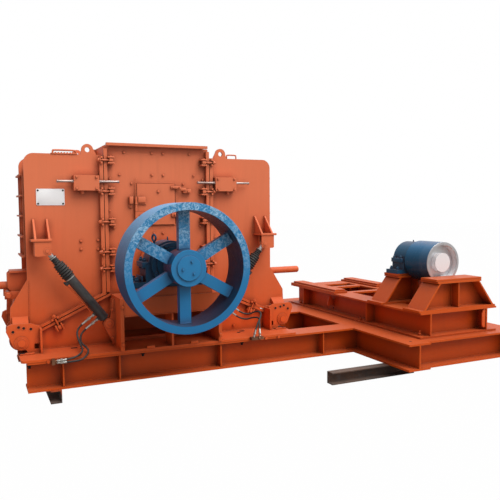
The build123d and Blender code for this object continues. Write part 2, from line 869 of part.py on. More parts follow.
def saddle(y_centre):
    """Trapezoid saddle with its foot plate, doubled top plate and centre stiffener."""
    foot = motor_beam_top + saddle_plate
    under = saddle_top - 2 * saddle_plate
    start = y_centre + saddle_depth / 2
    with BuildPart() as stool:
        with Locations((motor_x - 17, y_centre, motor_beam_top + saddle_plate / 2)):
            Box(2 * saddle_foot_half, saddle_depth, saddle_plate)
        with BuildSketch(facing_front(start)):
            with BuildLine():
                Polyline((motor_x - 440, foot), (motor_x - saddle_top_half + 30, under),
                         (motor_x + saddle_top_half - 30, under), (motor_x + 440, foot),
                         close=True)
            make_face()
            with BuildLine():
                Polyline((motor_x - 416, foot), (motor_x - saddle_top_half + 46, under),
                         (motor_x + saddle_top_half - 46, under), (motor_x + 416, foot),
                         close=True)
            make_face(mode=Mode.SUBTRACT)
        extrude(amount=saddle_depth)
        with BuildSketch(facing_front(y_centre + girder_web / 2)):
            with BuildLine():
                Polyline((motor_x - 425, foot), (motor_x - saddle_top_half + 40, under),
                         (motor_x + saddle_top_half - 40, under), (motor_x + 425, foot),
                         close=True)
            make_face()
        extrude(amount=girder_web)
        with Locations((motor_x, y_centre, (foot + under) / 2)):
            Box(stiffener_thickness, saddle_depth - 30, under - foot)
        with Locations((motor_x, y_centre, under + saddle_plate / 2)):
            Box(2 * saddle_top_half - 20, saddle_depth, saddle_plate)
        with Locations((motor_x, y_centre, under + 1.5 * saddle_plate)):
            Box(2 * saddle_top_half, saddle_depth - 20, saddle_plate)
    return stool.part


def jackshaft_bearing():
    """Plummer block on the rear saddle."""
    y_rear = saddle_y[1] + 80
    with BuildPart() as block:
        with BuildSketch(facing_front(y_rear)):
            with Locations((motor_x, jack_height)):
                Circle(190)
            with Locations((motor_x, (saddle_top + jack_height) / 2)):
                Rectangle(400, jack_height - saddle_top)
            with Locations((motor_x, saddle_top + 20)):
                Rectangle(560, 40)
        extrude(amount=185)
        with BuildSketch(facing_front(y_rear + 10)):
            with Locations((motor_x, saddle_top - 100)):
                Rectangle(700, 200)
        extrude(amount=220, mode=Mode.SUBTRACT)
        with BuildSketch(facing_front(y_rear + 10)):
            with Locations((motor_x, jack_height)):
                Circle(jack_shaft_radius + running_gap)
        extrude(amount=220, mode=Mode.SUBTRACT)
    return block.part


def jackshaft():
    """Jackshaft from its pulley to the bare coupling end at the rear."""
    with BuildPart() as shaft:
        with BuildSketch(facing_front(-250)):
            with Locations((motor_x, jack_height)):
                Circle(jack_shaft_radius)
        extrude(amount=-250 - jack_pulley_rear)
    return shaft.part


def jackshaft_pulley():
    """Wide driving pulley of the jackshaft."""
    web_front = jack_pulley_front + 60
    with BuildPart() as pulley:
        with BuildSketch(facing_front(jack_pulley_rear)):
            with Locations((motor_x, jack_height)):
                Circle(jack_pulley_radius)
        extrude(amount=jack_pulley_rear - jack_pulley_front)
        with BuildSketch(facing_front(web_front)):
            with Locations((motor_x, jack_height)):
                Circle(jack_pulley_radius - 28)
                Circle(95, mode=Mode.SUBTRACT)
        extrude(amount=100, mode=Mode.SUBTRACT)
    return pulley.part


def sleeper_along_x(x_start, x_end, y):
    """Channel sleeper lying along X with its flanges towards the front."""
    half = sleeper_height / 2
    with BuildPart() as sleeper:
        with BuildSketch(Plane.YZ.offset(x_start)):
            with Locations((y, -half)):
                Rectangle(sleeper_width, sleeper_height)
            with Locations((y - sleeper_wall, -half)):
                Rectangle(sleeper_width, sleeper_height - 2 * sleeper_wall, mode=Mode.SUBTRACT)
        extrude(amount=x_end - x_start)
    return sleeper.part


def sleeper_along_y(x, y_start, y_end):
    """Channel sleeper lying along Y with its flanges towards the left."""
    half = sleeper_height / 2
    with BuildPart() as sleeper:
        with BuildSketch(facing_front(y_end)):
            with Locations((x, -half)):
                Rectangle(sleeper_width, sleeper_height)
            with Locations((x - sleeper_wall, -half)):
                Rectangle(sleeper_width, sleeper_height - 2 * sleeper_wall, mode=Mode.SUBTRACT)
        extrude(amount=y_end - y_start)
    return sleeper.part


def pair(piece, other):
    """A piece and its mirrored or repeated partner, as two solids in one node."""
    with BuildPart() as both:
        add(piece)
        add(other)
    return both.part


os.makedirs("parts", exist_ok=True)

front_girder = base_girder()
save(front_girder, "base_girder_front")
save(rear_of(front_girder), "base_girder_rear")
front_base = base_plate()
save(pair(front_base, rear_of(front_base)), "base_plates")
save(lower_side(True), "lower_side_front")
save(rear_of(lower_side(False)), "lower_side_rear")
save(lower_ends(), "lower_end_plates")
right_bracket = hinge_bracket()
right_brackets = pair(right_bracket, rear_of(right_bracket))
save(pair(right_brackets, left_of(right_brackets)), "hinge_brackets")
front_pedestal = pedestal()
save(front_pedestal, "pedestal_front")
save(rear_of(front_pedestal), "pedestal_rear")
front_bearing = bearing()
save(front_bearing, "bearing_front")
save(rear_of(front_bearing), "bearing_rear")
save(centre_panel(True), "centre_panel_front")
save(rear_of(centre_panel(False)), "centre_panel_rear")
save(inspection_door(), "inspection_door")
save(inlet_frame(), "inlet_frame")

cross_girder = beam_along_y(cross_front, 2 * middle_y - cross_front, cross_x, ())
save(cross_girder, "cross_girder_left")
save(Pos(2 * (motor_x - cross_x), 0, 0) * cross_girder, "cross_girder_right")
inner_start = cross_x + girder_width / 2
inner_end = 2 * motor_x - inner_start
save(front_cross_beam(inner_start, inner_end), "front_beam")
save(pair(beam_along_x(inner_start, inner_end, middle_beam_y, ()),
          pair(beam_along_x(inner_start, inner_end, pad_beam_y, ()),
               beam_along_x(inner_start, inner_end, rear_beam_y, ()))), "inner_beams")

motor_beam = beam_along_y(motor_beam_front, motor_beam_rear, motor_x - motor_beam_offset,
                          motor_beam_stiffeners, girder_height,
                          motor_beam_top - girder_height, motor_beam_width)
save(motor_beam, "motor_beam_left")
save(Pos(2 * motor_beam_offset, 0, 0) * motor_beam, "motor_beam_right")
save(motor_crossbeams(), "motor_crossbeams")
save(motor_pads(), "motor_pads")
save(saddle(saddle_y[0]), "saddle_front")
save(saddle(saddle_y[1]), "saddle_rear")
save(jackshaft_bearing(), "jackshaft_bearing")
save(jackshaft(), "jackshaft")
save(jackshaft_pulley(), "jackshaft_pulley")
front_sleeper = sleeper_along_x(1304, 2230, -927)
save(pair(front_sleeper, rear_of(front_sleeper)), "cross_sleepers")
save(sleeper_along_y(-1005, -400, 1000), "sleeper_left")
save(sleeper_along_y(3253, -900, 1500), "sleeper_right")

front_fittings = hose_fittings()
save(pair(front_fittings, rear_of(front_fittings)), "hose_fittings")
hose_routes = {
    "left_upper_hose": from_union(union_places[0], -1, left_upper_route),
    "left_lower_hose": from_union(union_places[1], -1, left_lower_route),
    "right_upper_hose": from_union(union_places[0], 1, right_upper_route),
    "right_lower_hose": from_union(union_places[1], 1, right_lower_route),
}
for hose_name, route in hose_routes.items():
    front_hose = hose(route)
    save(front_hose, f"{hose_name}_front")
    save(rear_of(front_hose), f"{hose_name}_rear")

save(mill_pulley(), "mill_pulley")
save(rotor_core(), "rotor_core")
save(hammers(), "hammers")

right_side = case_side()
right_breaker = breaker_plate()
right_barrel = cylinder_barrel()
right_rod = cylinder_rod()
right_bellows = bellows()
for side_name, placed, tie in (("right", lambda piece: piece, (1262.0, 890.0)),
                               ("left", left_of, (1320.0, 950.0))):
    save(placed(right_side), f"{side_name}_case_side_front")
    save(placed(rear_of(right_side)), f"{side_name}_case_side_rear")
    save(placed(case_wrap(*tie)), f"{side_name}_case_wrap")
    save(placed(right_breaker), f"{side_name}_breaker_plate")
    save(placed(pair(right_barrel, rear_of(right_barrel))), f"{side_name}_cylinder_barrels")
    save(placed(pair(right_rod, rear_of(right_rod))), f"{side_name}_cylinder_rods")
    save(placed(pair(right_bellows, rear_of(right_bellows))), f"{side_name}_bellows")
save(nameplate(), "nameplate")
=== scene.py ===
import math
import random

import bmesh
import bpy
from mathutils import Matrix, Vector


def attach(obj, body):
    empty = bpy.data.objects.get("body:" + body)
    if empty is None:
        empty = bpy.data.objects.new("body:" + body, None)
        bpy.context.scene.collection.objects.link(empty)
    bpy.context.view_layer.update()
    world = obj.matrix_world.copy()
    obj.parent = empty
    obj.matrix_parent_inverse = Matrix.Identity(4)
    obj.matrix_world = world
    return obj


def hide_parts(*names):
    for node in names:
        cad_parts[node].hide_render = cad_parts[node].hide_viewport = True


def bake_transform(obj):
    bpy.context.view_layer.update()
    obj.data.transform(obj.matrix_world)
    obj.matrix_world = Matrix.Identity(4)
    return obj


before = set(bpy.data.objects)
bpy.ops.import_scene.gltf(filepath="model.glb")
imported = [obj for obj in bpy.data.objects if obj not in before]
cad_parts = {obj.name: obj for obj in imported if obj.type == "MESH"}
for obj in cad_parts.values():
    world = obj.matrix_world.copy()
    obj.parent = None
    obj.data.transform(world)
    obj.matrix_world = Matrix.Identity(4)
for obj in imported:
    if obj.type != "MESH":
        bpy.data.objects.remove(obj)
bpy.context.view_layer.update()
random.seed(11)

# Lengths are in millimetres of the mill's own frame until a piece is finished:
# X = 0 on the rotor's middle plane, Y = 0 on the front side plates, Z = 0 under the girders.
# Y runs to the rear, where REAR is the depth of the rear side plates, and BASE_TOP is the
# height of the base plates' upper face.
SHIFT = Vector((-0.855, -0.300, 0.110))
REAR = 600.0
BASE_TOP = 270
ACROSS = Vector((0, 1, 0))

# The right case's pins, in X and Z, and the pins of the right front cylinder
HINGE = (1243.0, 365.0)
FOOT = Vector((516.0, -158.0, 480.0))
HEAD = Vector((1020.0, -158.0, 1139.0))
CYLINDER = (HEAD - FOOT).normalized()
OUTWARD = Vector((CYLINDER.z, 0.0, -CYLINDER.x))

# Axes of the rotor, and of the jackshaft over the motor frame, in X and Z
AXIS_Z = 1002.0
MOTOR_X = 2655.0
ROTOR = (0.0, AXIS_Z)
JACKSHAFT = (MOTOR_X, 932.0)

FRONT = (0, -1, 0)
BACK = (0, 1, 0)
UP = (0, 0, 1)
DOWN = (0, 0, -1)

# Radii of the driven wheel, in metres
HUB_SLEEVE = 0.152
RIM_INSIDE = 0.473
BELT_FACE = 0.536

# Left and right bodies that mirrored pieces ride on
CASES = ("left_case", "right_case")
BARRELS = ("left_barrels", "right_barrels")
RODS = ("left_rods", "right_rods")


def metres(x, y, z):
    """A point of the mill's frame in the model's frame, in metres."""
    return Vector((x, y, z)) * 0.001 + SHIFT


def around(axis, y, radius=0.0, degrees=0.0):
    """Point at depth y on a shaft's axis, or off it by a radius at an angle from X."""
    a = math.radians(degrees)
    return Vector((axis[0] + radius * math.cos(a), y, axis[1] + radius * math.sin(a)))


def turned(x, y, z):
    """Matrix whose axes are the three directions."""
    return Matrix((x, y, z)).transposed().to_4x4()


def linked(name, data):
    made = bpy.data.objects.new(name, data)
    bpy.context.scene.collection.objects.link(made)
    return made


def place_camera():
    """Stands at the photograph's viewpoint, found from the girders, plates and wheel."""
    data = bpy.data.cameras.new("camera")
    data.sensor_width = 36.0
    data.lens = 43.01
    data.clip_end = 200.0
    camera = linked("camera", data)
    stand = (-2.43485, -5.75436, 1.58707)
    yaw = 0.433779
    pitch = 0.0680687
    roll = -0.00791388
    forward = Vector((math.sin(yaw) * math.cos(pitch), math.cos(yaw) * math.cos(pitch),
                      -math.sin(pitch)))
    right = Vector((math.cos(yaw), -math.sin(yaw), 0.0))
    up = right.cross(forward)
    rolled_right = right * math.cos(roll) + up * math.sin(roll)
    rolled_up = up * math.cos(roll) - right * math.sin(roll)
    camera.matrix_world = Matrix.Translation(stand) @ turned(rolled_right, rolled_up, -forward)
    bpy.context.scene.camera = camera


class Graph:
    """The node tree of a new material or world, with short calls for the nodes used here."""

    def __init__(self, name, kind="materials"):
        self.owner = getattr(bpy.data, kind).new(name)
        self.owner.use_nodes = True
        self.tree = self.owner.node_tree
        self.shader = self.tree.nodes.get("Principled BSDF")
        self.place = self.node("TexCoord").outputs["Object"]

    def node(self, kind, inputs=(), **settings):
        made = self.tree.nodes.new("ShaderNode" + kind)
        for key, value in settings.items():
            setattr(made, key, value)
        for key, value in dict(inputs).items():
            self.feed(made.inputs[key], value)
        return made

    def feed(self, socket, value):
        """Links another node's output to the socket, or sets the socket's own value."""
        if isinstance(value, bpy.types.NodeSocket):
            self.tree.links.new(value, socket)
        elif isinstance(value, tuple) and len(value) == 3 and socket.type == "RGBA":
            socket.default_value = (*value, 1.0)
        else:
            socket.default_value = value

    def stretched(self, scale):
        return self.node("Mapping", {"Vector": self.place, "Scale": scale}).outputs["Vector"]

    def noise(self, scale, detail=4.0, roughness=0.55, distortion=0.0, vector=None):
        inputs = {"Vector": vector or self.place, "Scale": scale, "Detail": detail,
                  "Roughness": roughness, "Distortion": distortion}
        return self.node("TexNoise", inputs).outputs["Fac"]

    def band(self, value, low, high, to_low=0.0, to_high=1.0):
        inputs = {"Value": value, "From Min": low, "From Max": high, "To Min": to_low, "To Max": to_high}
        return self.node("MapRange", inputs, clamp=True).outputs["Result"]

    def math(self, operation, a, b):
        return self.node("Math", {0: a, 1: b}, operation=operation, use_clamp=True).outputs["Value"]

    def times(self, a, b):
        return self.math("MULTIPLY", a, b)

    def mix(self, amount, a, b):
        return self.node("Mix", {0: amount, 6: a, 7: b}, data_type="RGBA").outputs[2]

    def axis(self, which, vector=None):
        return self.node("SeparateXYZ", {0: vector or self.place}).outputs[which]

    def from_axis(self, centre):
        """Distance from the line along Y through centre."""
        flat = {"Vector": self.place, "Location": (-centre[0], 0.0, -centre[2]), "Scale": (1.0, 0.0, 1.0)}
        moved = self.node("Mapping", flat).outputs["Vector"]
        return self.node("VectorMath", {0: moved}, operation="LENGTH").outputs["Value"]

    def up_facing(self):
        return self.axis("Z", self.node("NewGeometry").outputs["Normal"])

    def corners(self, distance):
        return self.node("AmbientOcclusion", {"Distance": distance}, samples=6).outputs["AO"]

    def edges(self, radius):
        """1 along sharp edges and 0 on flat faces."""
        rounded = self.node("Bevel", {"Radius": radius}, samples=3).outputs["Normal"]
        plain = self.node("NewGeometry").outputs["Normal"]
        dot = self.node("VectorMath", {0: rounded, 1: plain}, operation="DOT_PRODUCT")
        return self.band(dot.outputs["Value"], 0.97, 0.80)

    def bumps(self, *layers):
        """Stacks layers of (height, strength, distance) into the surface's normal."""
        normal = None
        for height, strength, distance in layers:
            inputs = {"Strength": strength, "Distance": distance, "Height": height}
            if normal is not None:
                inputs["Normal"] = normal
            normal = self.node("Bump", inputs).outputs["Normal"]
        self.feed(self.shader.inputs["Normal"], normal)

    def finish(self, colour, roughness, metallic=0.0):
        self.feed(self.shader.inputs["Base Color"], colour)
        self.feed(self.shader.inputs["Roughness"], roughness)
        self.feed(self.shader.inputs["Metallic"], metallic)
        return self.owner


RUST = (0.115, 0.036, 0.014)
# Dark brown: grime in the brushed streaks and runs, and painted shade in the corners.
GRIME_AND_SHADE = (0.075, 0.022, 0.012)


def painted(name, low, high, worn_and_glint, roughness, chips=0.0, wear=None, span=(0.35, 1.75), recess=0.07):
    """Sprayed machine paint: paler towards the top as painted light, darker in corners as painted shade,
    grimy in streaks and runs, paler at edges as wear and painted glint, with rust specks.
    """
    g = Graph(name)
    g.shader.inputs["Specular IOR Level"].default_value = 0.25
    # Paler towards the top: painted light from above, which on the orange also stands for sun-faded paint.
    height = g.band(g.axis("Z"), *span)
    patches = g.noise(1.7, 5.0, 0.6)
    colour = g.mix(height, low, high)
    colour = g.mix(g.band(patches, 0.35, 0.75, 0.0, 0.16), colour, worn_and_glint)
    brushed = g.noise(1.0, 5.0, 0.6, vector=g.stretched((42.0, 42.0, 3.0)))
    colour = g.mix(g.band(brushed, 0.30, 0.75, 0.04, 0.0), colour, GRIME_AND_SHADE)
    runs = g.noise(1.0, 3.0, 0.5, 0.2, vector=g.stretched((9.0, 9.0, 0.7)))
    colour = g.mix(g.band(runs, 0.56, 0.78, 0.0, 0.08), colour, GRIME_AND_SHADE)
    mottle = g.noise(26.0, 6.0, 0.62)
    colour = g.mix(g.band(mottle, 0.30, 0.75, 0.06, 0.0), colour, worn_and_glint)
    dust = g.times(g.band(g.up_facing(), 0.75, 0.98), g.band(mottle, 0.30, 0.70, 0.08, 0.22))
    colour = g.mix(dust, colour, (0.50, 0.24, 0.15))
    # Darker in corners and recesses, found by ambient occlusion: painted shade.
    corner_shade = g.band(g.corners(recess), 0.25, 0.95, 0.72, 0.0)
    colour = g.mix(corner_shade, colour, GRIME_AND_SHADE)
    # Paler along sharp edges: wear, and a painted glint where light catches them.
    edge_wear_and_glint = g.times(g.edges(0.006), g.band(g.noise(14.0, 5.0, 0.7), 0.42, 0.62))
    colour = g.mix(g.times(edge_wear_and_glint, 0.55), colour, worn_and_glint)
    specks = g.band(g.noise(58.0, 4.0, 0.75, 0.4), 0.715 - 0.03 * chips, 0.755)
    colour = g.mix(g.times(specks, 0.6), colour, RUST)
    finish = g.band(mottle, 0.25, 0.80, roughness - 0.05, roughness + 0.08)
    layers = [(g.noise(210.0, 2.0), 0.06, 0.0006), (patches, 0.15, 0.006), (brushed, 0.05, 0.0008)]
    if wear is not None:
        colour, finish = wear(g, colour, finish, layers)
    g.bumps(*layers)
    return g.finish(colour, finish)


def wheel_wear(g, colour, finish, layers):
    """Crinkled pale paint on the upper spokes and rim, partly a painted highlight; painted shade inside the
    rim; and a belt face rubbed paler, with a painted sheen towards the top.
    """
    radius = g.from_axis(metres(*around(ROTOR, 0)))
    height = g.axis("Z")
    flakes = g.noise(34.0, 9.0, 0.72, 0.9)
    # Pale flaked paint on the upper spokes and rim, made paler there as a painted highlight.
    upper = g.times(g.band(height, 1.00, 1.42), g.band(radius, 0.15, 0.24))
    where = g.times(g.band(g.noise(2.6, 3.0, 0.6), 0.30, 0.50), upper)
    peel_and_highlight = g.times(g.band(flakes, 0.45, 0.58), where)
    colour = g.mix(g.times(peel_and_highlight, 0.78), colour, (0.42, 0.67, 0.90))
    dark = g.times(g.band(g.noise(90.0, 5.0, 0.7), 0.50, 0.66, 0.0, 0.45), where)
    colour = g.mix(dark, colour, (0.008, 0.060, 0.180))
    # Darker inside the rim, more towards the right: painted shade.
    bore = g.times(g.band(radius, RIM_INSIDE - 0.0040, RIM_INSIDE - 0.0010),
                   g.band(radius, RIM_INSIDE + 0.0025, RIM_INSIDE + 0.0005))
    rim_inside_shade = g.times(bore, g.band(g.axis("X"), -1.20, -0.70, 0.30, 0.85))
    colour = g.mix(rim_inside_shade, colour, (0.012, 0.018, 0.036))
    sleeve = g.times(g.band(radius, HUB_SLEEVE - 0.0017, HUB_SLEEVE - 0.0008),
                     g.band(radius, HUB_SLEEVE + 0.0080, HUB_SLEEVE + 0.0020))
    colour = g.mix(g.times(sleeve, 0.7), colour, (0.006, 0.030, 0.080))
    # Belt face rubbed paler, and lighter towards the top as a painted sheen.
    belt_path = g.band(radius, BELT_FACE - 0.0025, BELT_FACE - 0.0010)
    belt_rub_and_sheen = g.mix(g.band(height, 1.05, 1.62), (0.008, 0.085, 0.220), (0.230, 0.500, 0.800))
    colour = g.mix(g.times(belt_path, 0.9), colour, belt_rub_and_sheen)
    layers.append((peel_and_highlight, 0.6, 0.0025))
    return colour, g.math("ADD", finish, g.times(belt_path, 0.2))


def drum_wear(g, colour, finish, layers):
    """Bare pale steel inside the rim at the drum's front end."""
    radius = g.from_axis(metres(*around(JACKSHAFT, 0)))
    inside = g.times(g.band(radius, 0.2050, 0.2035), g.band(g.axis("Y"), -1.05, -1.08))
    return g.mix(inside, colour, (0.86, 0.87, 0.89)), finish


def bare_steel(name, colour, dark, roughness, lines=(160.0, 160.0, 160.0), rust=0.0):
    """Machined or drawn steel with fine lines, and rust in patches where asked."""
    g = Graph(name)
    grain = g.noise(1.0, 3.0, 0.6, vector=g.stretched(lines))
    cloud = g.noise(9.0, 5.0, 0.6)
    tone = g.mix(g.band(cloud, 0.35, 0.70), colour, dark)
    tone = g.mix(g.band(grain, 0.30, 0.70, 0.16, 0.0), tone, dark)
    rusted = g.band(g.noise(15.0, 7.0, 0.7, 0.4), 0.62 - 0.22 * rust, 0.80 - 0.22 * rust)
    tone = g.mix(g.times(rusted, min(1.0, 0.25 + rust)), tone, RUST)
    g.bumps((grain, 0.12, 0.0004), (cloud, 0.10, 0.002))
    metal = g.band(rusted, 0.0, 1.0, 1.0 - 0.35 * rust, 0.15)
    return g.finish(tone, g.band(cloud, 0.30, 0.75, roughness, roughness + 0.18), metal)


def scaled_steel(name, overspray=False):
    """Hot-rolled sleeper steel: grey mill scale breaking into rust, with overspray if asked."""
    g = Graph(name)
    big = g.noise(5.0, 7.0, 0.65, 0.3)
    small = g.noise(47.0, 6.0, 0.7)
    tone = g.mix(g.band(big, 0.38, 0.62), (0.075, 0.066, 0.064), (0.120, 0.066, 0.045))
    tone = g.mix(g.band(small, 0.50, 0.72, 0.0, 0.8), tone, (0.17, 0.065, 0.028))
    tone = g.mix(g.band(g.noise(11.0, 4.0), 0.55, 0.66, 0.0, 0.30), tone, (0.16, 0.15, 0.15))
    tone = g.mix(g.band(g.up_facing(), 0.5, 0.9, 0.0, 0.35), tone, (0.26, 0.20, 0.17))
    if overspray:
        sprayed = g.times(g.band(g.axis("Z"), 0.060, 0.095), g.band(big, 0.30, 0.45))
        tone = g.mix(g.times(sprayed, 0.85), tone, (0.55, 0.085, 0.012))
    g.bumps((big, 0.3, 0.004), (small, 0.4, 0.0014))
    return g.finish(tone, g.band(small, 0.3, 0.7, 0.55, 0.9), g.band(big, 0.4, 0.6, 0.35, 0.1))


def rubber(name):
    g = Graph(name)
    dust = g.noise(30.0, 5.0, 0.6)
    tone = g.mix(g.band(dust, 0.40, 0.75, 0.0, 0.55), (0.016, 0.016, 0.017), (0.085, 0.075, 0.066))
    tone = g.mix(g.band(g.up_facing(), 0.2, 0.9, 0.0, 0.35), tone, (0.11, 0.10, 0.092))
    g.bumps((g.noise(240.0, 3.0), 0.2, 0.0005), (dust, 0.1, 0.001))
    return g.finish(tone, g.band(dust, 0.3, 0.7, 0.52, 0.72))


def dark_enamel(name):
    """Black cylinder enamel, greasy, with dust on top and orange overspray in flecks."""
    g = Graph(name)
    cloud = g.noise(13.0, 5.0, 0.6)
    tone = g.mix(g.band(cloud, 0.35, 0.75), (0.022, 0.023, 0.026), (0.070, 0.066, 0.064))
    tone = g.mix(g.band(g.up_facing(), 0.1, 0.9, 0.0, 0.30), tone, (0.14, 0.13, 0.125))
    flecks = g.band(g.noise(70.0, 3.0, 0.7), 0.70, 0.74)
    tone = g.mix(g.times(flecks, 0.6), tone, (0.42, 0.10, 0.04))
    g.bumps((g.noise(190.0, 2.0), 0.08, 0.0006), (cloud, 0.1, 0.002))
    return g.finish(tone, g.band(cloud, 0.3, 0.7, 0.30, 0.48))


def plate_face(name):
    """White stove-enamelled plate, slightly yellowed, left bare."""
    g = Graph(name)
    cloud = g.noise(12.0, 4.0, 0.6)
    tone = g.mix(g.band(cloud, 0.35, 0.75), (0.99, 0.99, 1.00), (0.93, 0.93, 0.95))
    tone = g.mix(g.band(g.noise(70.0, 5.0, 0.7), 0.66, 0.72, 0.0, 0.35), tone, (0.30, 0.22, 0.18))
    g.bumps((cloud, 0.1, 0.001))
    return g.finish(tone, g.band(cloud, 0.3, 0.7, 0.28, 0.42))


# Near-black: painted shade in holes and slots, and the colour of small dark screws and bolt ends.
def hole_shade_and_dark_steel(name):
    g = Graph(name)
    g.bumps((g.noise(90.0), 0.2, 0.001))
    return g.finish(g.mix(g.noise(40.0), (0.006, 0.004, 0.004), (0.022, 0.011, 0.008)), 0.9)


def make_materials():
    return {
        "orange_paint": painted("orange_machine_paint", (0.71, 0.085, 0.004), (0.82, 0.205, 0.090),
                                (0.84, 0.250, 0.120), 0.42),
        "frame_paint": painted("orange_frame_paint", (0.63, 0.076, 0.002), (0.70, 0.115, 0.010),
                               (0.74, 0.180, 0.055), 0.44, recess=0.12),
        "blue_paint": painted("blue_wheel_paint", (0.003, 0.120, 0.310), (0.034, 0.262, 0.540),
                              (0.050, 0.270, 0.540), 0.34, 0.3, wheel_wear),
        "bearing_paint": painted("blue_bearing_paint", (0.012, 0.075, 0.150), (0.020, 0.110, 0.215),
                                 (0.050, 0.190, 0.330), 0.40, 0.6),
        "dark_paint": dark_enamel("black_cylinder_enamel"),
        "bright_steel": bare_steel("bright_ground_steel", (0.62, 0.61, 0.60), (0.42, 0.41, 0.40), 0.24),
        "cast_steel": bare_steel("cast_hammer_steel", (0.20, 0.19, 0.185), (0.10, 0.095, 0.092), 0.48,
                                 rust=0.5),
        "turned_face": bare_steel("turned_pulley_face", (0.80, 0.81, 0.83), (0.58, 0.59, 0.62), 0.30,
                                  (25.0, 320.0, 320.0)),
        "scoured_steel": bare_steel("scoured_rod_steel", (0.62, 0.53, 0.50), (0.40, 0.29, 0.26), 0.45),
        # The drum's colour runs from painted shade at its bottom to a painted highlight on its top.
        "drum_paint": painted("blue_drum_paint", (0.004, 0.020, 0.036), (0.014, 0.150, 0.330),
                              (0.040, 0.200, 0.360), 0.24, 0.5, drum_wear, (0.86, 1.20)),
        "zinc": bare_steel("zinc_plated_fittings", (0.66, 0.66, 0.64), (0.47, 0.46, 0.42), 0.30),
        "rusty_steel": scaled_steel("rolled_sleeper_steel"),
        "sprayed_steel": scaled_steel("sprayed_sleeper_steel", True),
        "black_rubber": rubber("black_rubber"),
        "hose_rubber": rubber("black_hose_rubber"),
        "plate_aluminium": plate_face("polished_plate_rim"),
        "sprayed_fittings": bare_steel("sprayed_hose_fittings", (0.34, 0.16, 0.09), (0.16, 0.08, 0.05), 0.5,
                                       rust=0.3),
        "plate_face": plate_face("bare_plate_face"),
        "hole_shade_and_dark_steel": hole_shade_and_dark_steel("hole_shade_and_dark_steel"),
    }


def frame_along(direction):
    z = Vector(direction).normalized()
    x = ACROSS.cross(z)
    if x.length < 1e-4:
        x = Vector((1, 0, 0))
    x.normalize()
    return turned(x, z.cross(x), z)


def ring_of(part, radius, height, count, turn=0.0):
    angles = [turn + 2 * math.pi * k / count for k in range(count)]
    return [part.verts.new((radius * math.cos(a), radius * math.sin(a), height)) for a in angles]


def skin(part, rings):
    """Walls from each ring of points to the next, and a face on both ends."""
    for low, high in zip(rings, rings[1:]):
        for k in range(len(low)):
            j = (k + 1) % len(low)
            part.faces.new((low[k], low[j], high[j], high[k]))
    part.faces.new(rings[0][::-1])
    part.faces.new(rings[-1])


def line_through(route, fineness=10):
    """Spline whose control points are the route, as a curve without a section."""
    curve = bpy.data.curves.new("line", "CURVE")
    curve.dimensions = "3D"
    curve.resolution_u = fineness
    spline = curve.splines.new("NURBS")
    spline.points.add(len(route) - 1)
    for target, p in zip(spline.points, route):
        target.co = (*p, 1.0)
    spline.order_u = 3
    spline.use_endpoint_u = True
    return curve


def meshed(curve):
    holder = bpy.data.objects.new("line", curve)
    made = bpy.data.meshes.new_from_object(holder)
    bpy.data.objects.remove(holder)
    return made


